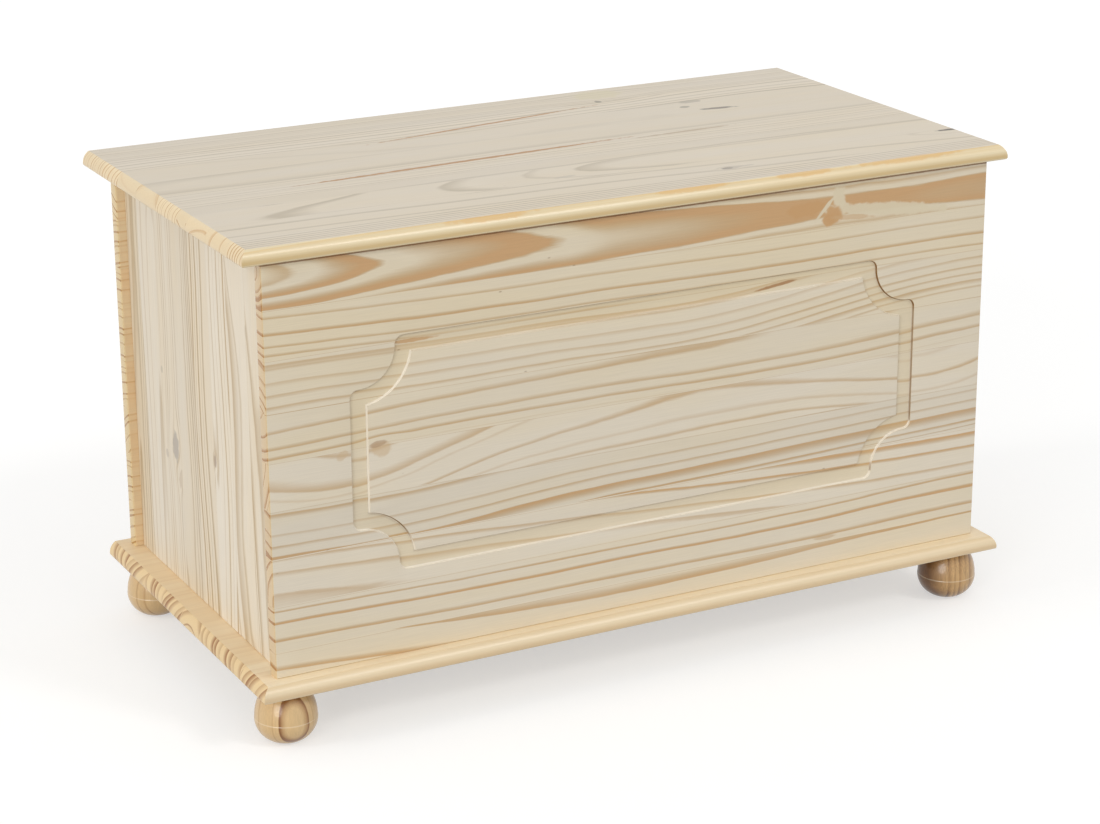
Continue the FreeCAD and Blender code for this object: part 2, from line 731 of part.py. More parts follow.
# Battens across the underside of the lid
batten_y = f"(({front_inner} + {back_inner}) / 2)"
batten_bores = []
batten_screws = []
for side, sign in left_right:
    blank = eased_board(
        f"{side}_batten_blank",
        (f"{sign}dims.batten_place - dims.batten_width / 2", f"{batten_y} - dims.batten_length / 2",
         f"{lid_bottom} - dims.batten_thickness"),
        "dims.batten_width", "dims.batten_length", "dims.batten_thickness", "dims.batten_round",
        lambda edge: edge.CenterOfMass.z < close)
    bores = []
    for k in (-1, 0, 1):
        at = (f"{sign}dims.batten_place", f"({batten_y} + {k} * dims.batten_screw_pitch)",
              f"({lid_bottom} - dims.batten_thickness)")
        screw, bore = wood_screw(f"{side}_batten_screw_{k + 1}", at, "+z", "screw",
                                 "dims.screw_head_height", "dims.batten_screw_length")
        batten_screws.append(screw)
        bores.append(bore)
    node(cut(f"{side}_batten", blank, bores))
    batten_bores += bores
node(group("batten_screws", batten_screws))

# Lid stays: the pivot under the lid and the stud in the side panel are equally far from the hinge axis,
# so the arm turns at half the lid's rate and its slot stays on the stud all the way.
pivot_run = "sqrt(dims.stay_circle ^ 2 - dims.stay_pivot_drop ^ 2)"
stud_run = "sqrt(dims.stay_circle ^ 2 - dims.stay_stud_drop ^ 2)"
pivot_y = f"({hinge_y} - {pivot_run})"
pivot_z = f"({hinge_z} - dims.stay_pivot_drop)"
stud_y = f"({hinge_y} - {stud_run})"
stud_z = f"({hinge_z} - dims.stay_stud_drop)"
closed_reach = f"sqrt(({pivot_run} - {stud_run}) ^ 2 + (dims.stay_stud_drop - dims.stay_pivot_drop) ^ 2)"
arm_outer = f"({side_inner} - dims.washer_thick - dims.stay_gap)"
arm_inner = f"({arm_outer} - dims.stay_thickness)"
flange_outer = f"({arm_inner} - dims.stay_gap)"


def slot_loop(first, last, radius):
    """A level slot outline between two end centres."""
    return [
        line((first, -radius), (last, -radius)),
        arc((last, -radius), (last, radius), (last, 0)),
        line((last, radius), (first, radius)),
        arc((first, radius), (first, -radius), (first, 0)),
    ]


def stay_arm(side, sign):
    """A flat arm with a pivot hole at one end and a long slot, lying from its pivot through the stud."""
    circle = size("stay_circle")
    pivot, stud = (
        Vector(0, -(circle ** 2 - drop ** 2) ** 0.5, -drop)
        for drop in (size("stay_pivot_drop"), size("stay_stud_drop"))
    )
    away = (stud - pivot).normalize()
    across = Vector(1, 0, 0)
    body = doc.addObject("PartDesign::Body", f"{side}_stay_arm")
    flat = sketch_on(body, f"{side}_arm_outline", "XY_Plane")
    reach = size("stay_open_reach")
    outline(flat, slot_loop(0, reach, size("stay_half_width")))
    flat.addConstraint(Sketcher.Constraint("Coincident", 3, centre, *origin_point))
    radius_of(flat, "half_width", 3, "dims.stay_half_width")
    distance(flat, "reach", "X", origin_point, (1, centre), "dims.stay_open_reach")
    outline(flat, slot_loop(reach / 3, reach, size("stud_radius")))
    flat.addConstraint(Sketcher.Constraint("PointOnObject", 7, centre, level_axis))
    radius_of(flat, "slot", 7, "dims.stud_radius + dims.slot_clearance")
    distance(flat, "slot_start", "X", origin_point, (7, centre), f"{closed_reach} - dims.slot_spare")
    distance(flat, "slot_end", "X", origin_point, (5, centre), "dims.stay_open_reach")
    flat.addGeometry(Part.Circle(Vector(), Vector(0, 0, 1), size("rivet_radius")), False)
    flat.addConstraint(Sketcher.Constraint("Coincident", 8, centre, *origin_point))
    radius_of(flat, "eye", 8, "dims.rivet_radius + dims.fit")
    pad(body, flat, "dims.stay_thickness", symmetric=True)
    body.Placement = Placement(Vector(), Rotation(away, across.cross(away), across, "ZXY"))
    place(body, f"{sign}({arm_outer} - dims.stay_thickness / 2)", pivot_y, pivot_z)
    return node(body)


def stay_bracket(side, sign):
    """A bent angle under the lid: a foot for two screws and an upright flange with a round eye."""
    way = -1 if sign == "-" else 1
    thick = size("stay_thickness")
    bend = size("bracket_bend")
    reach = size("bracket_foot")
    drop = size("stay_pivot_drop") + size("hinge_offset") + size("bracket_eye")
    body = doc.addObject("PartDesign::Body", f"{side}_bracket_blank")
    angle = sketch_on(body, f"{side}_bracket_angle", "XZ_Plane")
    outline(angle, [
        line((-way * reach, 0), (-way * bend, 0)),
        arc((-way * bend, 0), (0, -bend), (-way * bend, -bend)),
        line((0, -bend), (0, -drop)),
        line((0, -drop), (-way * thick, -drop)),
        line((-way * thick, -drop), (-way * thick, -bend)),
        arc((-way * thick, -bend), (-way * bend, -thick), (-way * bend, -bend)),
        line((-way * bend, -thick), (-way * reach, -thick)),
        line((-way * reach, -thick), (-way * reach, 0)),
    ])
    angle.addConstraint(Sketcher.Constraint("PointOnObject", 0, start, level_axis))
    angle.addConstraint(Sketcher.Constraint("PointOnObject", 2, start, upright_axis))
    angle.addConstraint(Sketcher.Constraint("Coincident", 1, centre, 5, centre))
    radius_of(angle, "bend", 1, "dims.bracket_bend")
    outwards = ((0, start), origin_point) if way > 0 else (origin_point, (0, start))
    distance(angle, "foot", "X", *outwards, "dims.bracket_foot")
    distance(angle, "drop", "Y", (2, end), origin_point,
             "dims.stay_pivot_drop + dims.hinge_offset + dims.bracket_eye")
    distance(angle, "thickness", "Y", (7, start), (7, end), "dims.stay_thickness")
    blank = pad(body, angle, "dims.bracket_width", symmetric=True)
    rounded(body, blank, lambda edge: abs(edge.CenterOfMass.z + drop) < close and
            abs(edge.Length - thick) < close, "dims.bracket_eye")
    place(body, f"{sign}{flange_outer}", pivot_y, lid_bottom)
    return body


bracket_screws, bracket_bores, washers = [], [], []
for side, sign in left_right:
    inward = "+x" if sign == "-" else "-x"
    stay_arm(side, sign)
    rivet_end = f"{sign}({arm_outer} + dims.stay_gap + dims.rivet_head_height)"
    dome = ("dims.rivet_dome_share * dims.rivet_head", "dims.rivet_head", "dims.rivet_head_height")
    shank = ("dims.rivet_radius", "dims.rivet_radius", "(2 * dims.stay_gap + 2 * dims.stay_thickness)")
    node(turned(f"{side}_stay_rivet", (rivet_end, pivot_y, pivot_z), inward,
                (dome, shank, (dome[1], dome[0], dome[2]))))
    eye = turned(f"{side}_bracket_eye", (f"{sign}{arm_outer}", pivot_y, pivot_z), inward,
                 ((shank[0], shank[1], f"3 * {shank[2]}"),), grow="dims.fit")
    bores = []
    for k in (-1, 1):
        at = (f"{sign}({flange_outer} - dims.bracket_screw_inset)",
              f"({pivot_y} + {k} * dims.bracket_screw_pitch / 2)", f"({lid_bottom} - dims.stay_thickness)")
        screw, bore = wood_screw(f"{side}_bracket_screw_{k + 1}", at, "+z", "small_screw",
                                 "dims.stay_thickness", "dims.small_screw_length")
        bracket_screws.append(screw)
        bores.append(bore)
    node(cut(f"{side}_stay_bracket", stay_bracket(side, sign), [eye, *bores]))
    bracket_bores += bores

    shoulder = "(dims.washer_thick + dims.washer_thin + 2 * dims.stay_gap + dims.stay_thickness)"
    stud_at = (f"{sign}({side_inner} + dims.stud_in_side)", stud_y, stud_z)
    stud, stud_bore = fastener(f"{side}_stay_stud", stud_at, inward, (
        ("dims.stud_thread", "dims.stud_thread", "dims.stud_in_side"),
        ("dims.stud_radius", "dims.stud_radius", shoulder),
        ("dims.stud_head", "dims.stud_head", "dims.stud_head_height / 2"),
        ("dims.stud_head", "dims.stud_dome_share * dims.stud_head", "dims.stud_head_height / 2")))
    node(stud)
    stud_hole = turned(f"{side}_stud_hole", stud_at, inward, (
        ("dims.stud_thread", "dims.stud_thread", "dims.stud_in_side"),), grow="dims.fit")
    edge_bores[side].append(stud_hole)
    for which, at_x, height in (("outer", side_inner, "dims.washer_thick"),
                                ("inner", flange_outer, "dims.washer_thin")):
        disc = turned(f"{side}_{which}_disc", (f"{sign}{at_x}", stud_y, stud_z), inward,
                      (("dims.washer_radius", "dims.washer_radius", height),))
        washers.append(cut(f"{side}_{which}_washer", disc, [stud_bore]))
node(group("stay_bracket_screws", bracket_screws))
node(group("stay_washers", washers))

# Lid and base boards
base_blank = nosed_board("base_blank", base_front, base_bottom)
node(cut("base_board", base_blank,
         [bore for owner, screw, bore in base_screws] + [bore for screw, bore in foot_screws]))
lid_blank = nosed_board("lid_blank", lid_front, lid_bottom)
node(cut("lid_board", lid_blank,
         batten_bores + bracket_bores + [bore for screw, bore in hinge_lid_screws]))

# Panels
panel_x = "-dims.carcass_width / 2"
panel_sizes = ("dims.carcass_width", "dims.board_thickness", "dims.panel_height", "dims.arris")
front_blank = eased_board("front_blank", (panel_x, front_face, base_top), *panel_sizes)
node(cut("front_panel", front_blank, [groove_ring(), *edge_bores["front"]]))
back_blank = eased_board("back_blank", (panel_x, back_inner, base_top), *panel_sizes)
node(cut("back_panel", back_blank, edge_bores["back"] + [bore for screw, bore in hinge_back_screws]))
for side, sign in left_right:
    low_x = f"-{side_outer}" if sign == "-" else side_inner
    blank = eased_board(f"{side}_side_blank", (low_x, front_inner, base_top), "dims.board_thickness",
                        "dims.carcass_depth - 2 * dims.board_thickness", "dims.panel_height", "dims.arris")
    node(cut(f"{side}_side_panel", blank, edge_bores[side]))

# Pads on the front panel's top edge
node(group("lid_buffers", [
    turned(f"{side}_buffer", (f"{sign}dims.buffer_place", front_middle, panel_top), "+z",
           (("dims.buffer_radius", "dims.buffer_radius", "dims.lid_gap - dims.fit"),))
    for side, sign in left_right
]))

doc.recompute()
for thing in doc.Objects:
    if "Invalid" in thing.State or "Error" in thing.State:
        raise RuntimeError(f"{thing.Name} failed: {thing.State}")
for piece in nodes:
    if piece.Shape.isNull() or not piece.Shape.isValid() or not piece.Shape.Solids:
        raise RuntimeError(f"{piece.Label} is not a valid solid")

os.makedirs("parts", exist_ok=True)
for piece in nodes:
    piece.Shape.exportStep(f"parts/{piece.Label}.step")
    print(f"{piece.Label}: {len(piece.Shape.Solids)} solids, {piece.Shape.Volume / 1000:.2f} cm3")
print(f"{len(nodes)} nodes")
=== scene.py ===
import json
import math
from functools import partial

import bmesh
import bpy
import numpy as np
from mathutils import Matrix, Vector


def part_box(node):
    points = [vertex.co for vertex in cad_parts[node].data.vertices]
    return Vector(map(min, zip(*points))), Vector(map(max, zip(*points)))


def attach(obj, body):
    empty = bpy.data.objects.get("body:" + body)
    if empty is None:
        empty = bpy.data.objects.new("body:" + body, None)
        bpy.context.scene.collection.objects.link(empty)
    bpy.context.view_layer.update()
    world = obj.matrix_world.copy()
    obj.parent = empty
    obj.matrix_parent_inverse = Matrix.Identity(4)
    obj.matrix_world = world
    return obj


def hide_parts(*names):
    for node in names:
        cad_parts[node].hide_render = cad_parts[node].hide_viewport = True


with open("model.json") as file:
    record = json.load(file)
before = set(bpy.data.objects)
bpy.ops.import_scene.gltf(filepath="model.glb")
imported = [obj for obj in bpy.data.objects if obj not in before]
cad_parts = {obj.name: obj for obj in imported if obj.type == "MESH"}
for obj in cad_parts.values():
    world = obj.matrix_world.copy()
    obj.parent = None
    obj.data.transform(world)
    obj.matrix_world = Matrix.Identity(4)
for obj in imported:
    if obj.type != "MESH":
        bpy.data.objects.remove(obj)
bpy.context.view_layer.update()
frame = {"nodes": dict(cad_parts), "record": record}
scene = bpy.context.scene
mm = 0.001
tau = 2 * math.pi
print("frame loaded with", len(frame["nodes"]), "nodes")


def hexColour(code):  # sRGB hex to linear red, green, blue and a full alpha
    parts = np.array([int(code[i:i + 2], 16) for i in (1, 3, 5)]) / 255
    linear = np.where(parts <= 0.04045, parts / 12.92, ((parts + 0.055) / 1.055) ** 2.4)
    return (*linear.tolist(), 1.0)


def addNode(tree, kind, inputs=(), operation=None, stops=None, **settings):  # a node with settings, values and links
    made = tree.nodes.new(kind if kind.startswith("NodeGroup") else "ShaderNode" + kind)
    if operation:
        made.operation = operation
    for key, value in settings.items():
        setattr(made, key, value)
    if stops:  # a colour ramp's stops, as (place, colour or grey)
        ramp = made.color_ramp.elements
        while len(ramp) < len(stops):
            ramp.new(1.0)
        for element, (place, shade) in zip(ramp, stops):
            element.position = place
            element.color = shade if isinstance(shade, tuple) else (shade, shade, shade, 1.0)
    for key, value in inputs.items() if isinstance(inputs, dict) else enumerate(inputs):
        if isinstance(value, bpy.types.Node):
            value = value.outputs[0]
        if isinstance(value, bpy.types.NodeSocket):
            tree.links.new(value, made.inputs[key])
        elif value is not None:
            made.inputs[key].default_value = value
    return made


def blank(owner):  # empties a material's or a world's node tree, and gives what adds nodes to it
    owner.use_nodes = True
    owner.node_tree.nodes.clear()
    return partial(addNode, owner.node_tree)


# The growth rings of a pine stave as a solid pattern, so that a face, an edge and an end of one board agree.
# A point's place along the grain bends the pith line by three sine waves, and its distance from that line says which
# year's wood it is. Each year is pale early wood that darkens to a line of late wood and then stops short.
ringHabit = {
    "longWave": 800.0, "shortWave": 380.0, "deepWave": 560.0,  # mm along the grain
    "rippleLength": 95.0, "rippleAcross": 22.0, "rippleSize": 2.6,  # mm, small bends that every stave has
    "raggedLength": 15.0, "raggedAcross": 1.3, "raggedSize": 0.55,  # mm, the feathered edge of a line
    "fibreLength": 55.0, "fibreAcross": 0.9,  # mm, drawn about three times as coarse as fibres, to show
    "fleckLength": 26.0, "fleckAcross": 10.0, "fleckDeep": 250.0,  # mm, cells that may hold one resin fleck
    "fleckSize": (0.085, 0.03), "fleckRare": 0.97,  # its rim and core in a cell, and the share of cells without one
    "fadeLength": 230.0, "fadeAcross": 30.0,  # mm, where the late wood comes and goes
    "slow": 0.95, "quick": 0.5, "peak": 0.2,  # widths of a line before and after its middle; its peak's most before it
    "stop": 0.9,  # mm, the longest fall from a line's peak to its end
    "hiddenGap": 8.0, "hiddenWidth": 1.9, "hiddenStrength": 0.45,  # mm, years that only an edge or an end shows
    "margin": 24.0, "mostYears": 10, "evenYears": 9,  # mm past the face's years; a ramp has stops for ten years
    "faceWidest": 90.0, "faceSteps": (41, 9),  # mm of a stave that are looked at, and the points along and across
}


def growRings():
    h = ringHabit
    tree = bpy.data.node_groups.new("pineGrowthRings", "ShaderNodeTree")
    add = partial(addNode, tree)
    for name in ("Position", "Pith", "Long", "Short", "Deep"):
        tree.interface.new_socket(name, in_out="INPUT", socket_type="NodeSocketVector")
    for name in ("Radius", "Fibre", "Fleck", "Fade"):
        tree.interface.new_socket(name, in_out="OUTPUT", socket_type="NodeSocketFloat")
    into = add("NodeGroupInput")
    place = into.outputs["Position"]
    at, pith, long, short, deep = (add("SeparateXYZ", [socket]) for socket in into.outputs[:5])

    waves = []
    for length, size, begin in ((h["longWave"], long.outputs[1], long.outputs[2]),
                                (h["shortWave"], short.outputs[0], short.outputs[1]),
                                (h["deepWave"], short.outputs[2], deep.outputs[0])):
        angle = add("Math", [at.outputs[0], tau / length, begin], "MULTIPLY_ADD")
        sine = add("Math", [angle], "SINE")
        waves.append(add("Math", [sine, size], "MULTIPLY"))
    leaning = add("Math", [at.outputs[0], pith.outputs[2], pith.outputs[0]], "MULTIPLY_ADD")
    bentLong = add("Math", [leaning, waves[0]], "ADD")
    bent = add("Math", [bentLong, waves[1]], "ADD")
    side = add("Math", [at.outputs[1], bent], "SUBTRACT")
    tapering = add("Math", [at.outputs[0], long.outputs[0], pith.outputs[1]], "MULTIPLY_ADD")
    bowed = add("Math", [tapering, waves[2]], "ADD")
    back = add("Math", [at.outputs[2], bowed], "SUBTRACT")
    flat = add("CombineXYZ", [side, back])
    stretched = {}  # the place measured in each pattern's own lengths
    for name in ("ripple", "ragged", "fibre", "fade", "fleck"):
        length, across = h[name + "Length"], h[name + "Across"]
        scale = (1 / length, 1 / across, 1 / h.get(name + "Deep", across))
        stretched[name] = add("VectorMath", [place, scale], "MULTIPLY")
    for name in ("ripple", "ragged"):
        noise = add("TexNoise", {"Vector": stretched[name], "Scale": 1.0, "Detail": 2.0, "Roughness": 0.5})
        centred = add("VectorMath", [noise.outputs["Color"], (0.5, 0.5, 0.5)], "SUBTRACT")
        flat = add("VectorMath", [centred, (h[name + "Size"],) * 3, flat], "MULTIPLY_ADD")
    levelled = add("VectorMath", [flat, (1.0, 1.0, 0.0)], "MULTIPLY")
    radius = add("VectorMath", [levelled], "LENGTH")

    fibre = add("TexNoise", {"Vector": stretched["fibre"], "Scale": 1.0, "Detail": 2.0, "Roughness": 0.6})
    fade = add("TexNoise", {"Vector": stretched["fade"], "Scale": 1.0, "Detail": 1.0})
    cell = add("TexVoronoi", {"Vector": stretched["fleck"], "Scale": 1.0})
    near = add("MapRange", [cell.outputs["Distance"], *h["fleckSize"]])
    lot = add("SeparateColor", [cell.outputs["Color"]])
    rare = add("Math", [lot.outputs[0], h["fleckRare"]], "GREATER_THAN")
    fleck = add("Math", [near, rare], "MULTIPLY")
    add("NodeGroupOutput", [radius.outputs["Value"], fibre, fleck, fade])
    return tree


rings = growRings()
print("ring pattern ready")


# The distances from the pith that a stave's face shows: the group's formula in numbers, without its small noises
def faceRadii(row, lower, reach):
    h = ringHabit
    (long, wide), upper = h["faceSteps"], min(row[0], lower + h["faceWidest"])
    along, across = np.meshgrid(np.linspace(*reach, long), np.linspace(lower, upper, wide))
    side = across - row[1] - row[3] * along - row[5] * np.sin(tau * along / h["longWave"] + row[6])
    side = side - row[7] * np.sin(tau * along / h["shortWave"] + row[8])
    back = -row[2] - row[4] * along - row[9] * np.sin(tau * along / h["deepWave"] + row[10])
    radii = np.hypot(side, back)
    return radii.min(), radii.max()


# A stave's late-wood lines as ramp stops along the distance from the pith. A ring (distance, width, strength) rises
# slowly to its peak and falls quickly. One (gap, width, strength) alone is spread evenly over the face.
def ringStops(row, lower, reach):
    h = ringHabit
    near, far = faceRadii(row, lower, reach)
    years = row[13]
    if not isinstance(years[0], tuple):
        gap, width, strength = years
        most = h["evenYears"]
        number = np.arange(min(most, int((far - near) / gap) + 1))
        gap = max(gap, (far - near) / most)
        distance = near + gap * (number + 0.5 + 0.25 * np.sin(2.1 * number + row[0]))  # even but for a quarter gap
        weight = strength * (0.68 + 0.32 * np.sin(1.7 * number + 2.3 * row[0]))  # good and poor years
        years = [(d, width, w) for d, w in zip(distance.tolist(), weight.tolist())]
    years = list(years)
    for step in (1, 2):  # years inside the board, farther from and nearer to the pith
        hidden = [(edge + side * step * h["hiddenGap"], h["hiddenWidth"], h["hiddenStrength"])
                  for edge, side in ((far, 1), (near, -1))]
        years += hidden[:h["mostYears"] - len(years)]
    low, high = near - h["margin"], far + h["margin"]
    bends = []
    for middle, width, strength in years:
        end = middle + h["quick"] * width
        peak = max(middle - h["peak"] * width, end - h["stop"])
        bends.append((middle - h["slow"] * width, peak, end))
    at = np.array(sorted(min(high, max(low, place)) for bend in bends for place in bend))
    late = np.max([np.interp(at, bend, (0, s, 0)) for bend, (c, w, s) in zip(bends, years)], axis=0)
    stops = [(float(place), float(shade) / 2) for place, shade in zip((at - low) / (high - low), late)]
    return low, high, stops


def lateWood(add, grain, row, lower, reach):  # how much late wood a stave shows at a point
    inner, outer, stops = ringStops(row, lower, reach)
    radiusAt = add("MapRange", [grain.outputs["Radius"], inner, outer])
    return add("ValToRGB", [radiusAt], stops=stops)


# Pine boards: edge-glued staves, planed, sanded and given a thin clear satin lacquer. The eye sees a pale cream face
# with tan late-wood lines, yellower milled edges, and end grain with brown ring arcs.
# A stave row is: upper edge, pith across, pith behind the face (mm), lean and taper along the grain, then size (mm)
# and start of the long, the short and the deep wave, tint, shade, and its rings.
# A mark is: along, across, half length, half width (mm), lean, how far it parts the grain (mm), colour, strength.
# Colours are pairs: early wood plain and warm, late wood tan and brown, then both woods on milled edges and on ends.
rowSpans = (((-600, 1000), (-300, 300), (-0.1, 0.1)), ((-0.2, 0.2), (0, 30), (0, 7)),
            ((0, 30), (0, 7), (0, 30)), ((0, 7), (0, 1), (0, 2)))  # least and most of a row's values, three to a ramp
boardHabit = {
    "markWobble": 9.0, "markFray": 0.9, "markRim": (1.55, 1.15),  # mm of a mark's uneven rim, its size, its two ends
    "knotReach": (3.4, 0.4),  # radii of a knot between which the grain bends round it
    "glueHalf": 0.22, "glueShade": 0.35,  # mm, and how much a glue line shows
    "endFrom": (0.25, 0.8), "edgeFrom": (0.995, 0.9), "noseFrom": (0.38, 0.1),  # the normal where each begins, is full
    "noise": (0.3, 0.7), "warmth": (-0.3, 0.3), "fading": (0.3, 0.65, 1.7, 2.3),  # what the slow noise does to a tone
    "brown": (0.45, 1.0), "endLines": 1.9,  # where late wood turns brown, and its strength on an end
    "flecks": 0.2, "fleckTone": "#8A6B4A",
    "lateGloss": 0.06, "edgeGloss": 0.18,  # how much smoother late wood is, and what the moulder cut
    "fibreRidge": 0.35, "bump": 0.1, "bumpHeight": 0.0003,  # fibres against rings, strength, metres
    "ior": 1.48, "coatRoughness": 0.08,
}


def marksOn(add, board, inMm, along, across):  # each mark's mask and colour, and the grain bent round the knots
    b = boardHabit
    wobbleAt = add("VectorMath", {0: inMm, 3: 1 / b["markWobble"]}, "SCALE")
    wobble = add("TexNoise", {"Vector": wobbleAt, "Scale": 1.0, "Detail": 2.0})
    masks = []
    for markAlong, markAcross, length, width, lean, bend, code, strength in board.get("marks", ()):
        relAlong = add("Math", [along, 1 / length, -markAlong / length], "MULTIPLY_ADD")
        straight = add("Math", [along, -lean, across], "MULTIPLY_ADD")
        shift = (markAlong * lean - markAcross) / width
        relAcross = add("Math", [straight, 1 / width, shift], "MULTIPLY_ADD")
        relative = add("CombineXYZ", [relAlong, relAcross])
        away = add("VectorMath", [relative], "LENGTH").outputs["Value"]
        uneven = add("Math", [wobble, b["markFray"], away], "MULTIPLY_ADD")
        core = add("MapRange", [uneven, *b["markRim"], 0.0, strength], interpolation_type="SMOOTHSTEP")
        masks.append((core, code))
        if bend:
            fall = add("MapRange", [away, *b["knotReach"], 0.0, -bend], interpolation_type="SMOOTHERSTEP")
            across = add("Math", [fall, relAcross, across], "MULTIPLY_ADD")
    return masks, across


def stavesOn(add, board, along, across, keyed, depth):  # the grain, the staves' tones, late wood and glue lines
    staves, length = board["staves"], board["length"]
    low, high = board["width"][0], staves[-1][0]
    edges = np.array([low] + [row[0] for row in staves[:-1]])
    shares = np.round((edges - low) / (high - low) * 255) / 255  # on the ramps' own steps
    joints = (low + shares * (high - low)).tolist()
    staveAt = add("MapRange", [keyed, low, high])
    looks = []
    for group, spans in enumerate(rowSpans):
        shades = [(max(0.0, share - 1e-5),
                   (*((value - a) / (b - a) for value, (a, b) in zip(row[3 * group + 1:], spans)), 1.0))
                  for share, row in zip(shares.tolist(), staves)]
        ramp = add("ValToRGB", [staveAt], stops=shades)
        ramp.color_ramp.interpolation = "CONSTANT"
        looks.append(add("VectorMath", [ramp.outputs["Color"], tuple(b - a for a, b in spans),
                                              tuple(a for a, b in spans)], "MULTIPLY_ADD"))
    place = add("CombineXYZ", [along, across, depth])
    grain = add("Group", [place] + looks, node_tree=rings)

    late, glue = None, None
    for joint, row in zip(joints, staves):
        line = lateWood(add, grain, row, joint, length)
        if late is None:
            late = line
            continue
        here = add("Math", [keyed, joint], "GREATER_THAN")
        late = add("MixRGB", [here, late, line])
        seam = add("Math", [keyed, joint, boardHabit["glueHalf"]], "COMPARE")
        glue = seam if glue is None else add("Math", [glue, seam], "MAXIMUM")
    if "turn" in board:  # the top stave's grain changes its course part way along
        begin, done, row = board["turn"]
        onward = add("Group", [place, row[1:4], row[4:7], row[7:10], row[10:13]], node_tree=rings)
        line = lateWood(add, onward, row, joints[-1], length)
        course = add("MapRange", [along, begin, done], interpolation_type="SMOOTHSTEP")
        turned = add("Math", [here, course], "MULTIPLY")
        late = add("MixRGB", [turned, late, line])
    return grain, looks[-1], late, glue


# The routed groove (mm): the cutter's path is a rectangle whose corners are scooped by circles about them
grooveShape = {"halfWidth": 303.3, "halfHeight": 107.4, "scoop": 46.6, "cutter": 8.6, "depth": 2.6,
               "levelSteps": 34, "turnSteps": 7, "scoopSteps": 23, "uprightSteps": 12,
               "lip": 0.45, "lean": 0.05, "hollow": 1.6, "roundSteps": 5}


# The groove's tones: its floor is warmer. Its lips get a painted highlight where they face up or, round the field
# inside the groove, to the left; the others get a brown that is partly router burn and partly painted shade. The field
# is what lies inside the cutter's path.
def grooveTones(add, board, along, keyed, depth, right, up, flatOn, end, edge):
    r, g = board["routed"], grooveShape
    fromMid = add("Math", [keyed, sum(board["width"]) / 2], "SUBTRACT")
    spans = [add("Math", [value], "ABSOLUTE") for value in (along, fromMid)]
    halves = g["halfWidth"], g["halfHeight"]
    beyond = [add("Math", [value, half], "SUBTRACT") for value, half in zip(spans, halves)]
    corner = add("VectorMath", [add("CombineXYZ", beyond)], "LENGTH").outputs["Value"]
    farthest = add("Math", beyond, "MAXIMUM")
    inside = add("Math", [farthest, g["cutter"] * 2], "LESS_THAN")
    sunk = add("MapRange", [depth, 0.0, r["sunk"]])
    groove = add("Math", [inside, sunk], "MULTIPLY")
    outside = add("Math", [1.0, groove], "SUBTRACT")
    within = add("Math", [farthest, 0.0], "LESS_THAN")
    clear = add("Math", [corner, g["scoop"]], "GREATER_THAN")
    field = add("Math", [within, clear], "MULTIPLY")

    turned = add("MapRange", [flatOn, *r["steep"]])
    steep = add("Math", [groove, turned], "MULTIPLY")
    upLeft = add("Math", [up, right], "SUBTRACT")
    left = add("MapRange", [right, *r["left"]])
    leftField = add("Math", [field, left], "MULTIPLY")
    fieldLeft = add("Math", [upLeft, leftField], "MULTIPLY")
    leftward = add("MapRange", [fieldLeft, *r["leftward"]])
    rising = add("MapRange", [up, *r["rising"]])
    share = add("Math", [field, *r["rub"]], "MULTIPLY_ADD")
    risen = add("Math", [rising, share], "MULTIPLY")
    paintedHighlight = add("Math", [risen, leftward], "MAXIMUM")
    shown = add("Math", [rising, leftward], "MAXIMUM")
    hidden = add("Math", [1.0, shown], "SUBTRACT")
    # painted highlight on lips that face up or left; a brown on the rest, partly router burn and partly painted shade
    pale = add("Math", [steep, paintedHighlight], "MULTIPLY")
    burntAndShaded = add("Math", [steep, hidden], "MULTIPLY")

    endOutside = add("Math", [end, outside], "MULTIPLY")
    edgeOutside = add("Math", [edge, outside], "MULTIPLY")
    level = add("Math", [1.0, edge], "SUBTRACT", use_clamp=True)
    floorOnly = add("Math", [groove, level], "MULTIPLY")
    warmer = add("Math", [floorOnly, r["floor"], edgeOutside], "MULTIPLY_ADD", use_clamp=True)
    return endOutside, warmer, [(pale, r["lip"]), (burntAndShaded, r["burn"])]


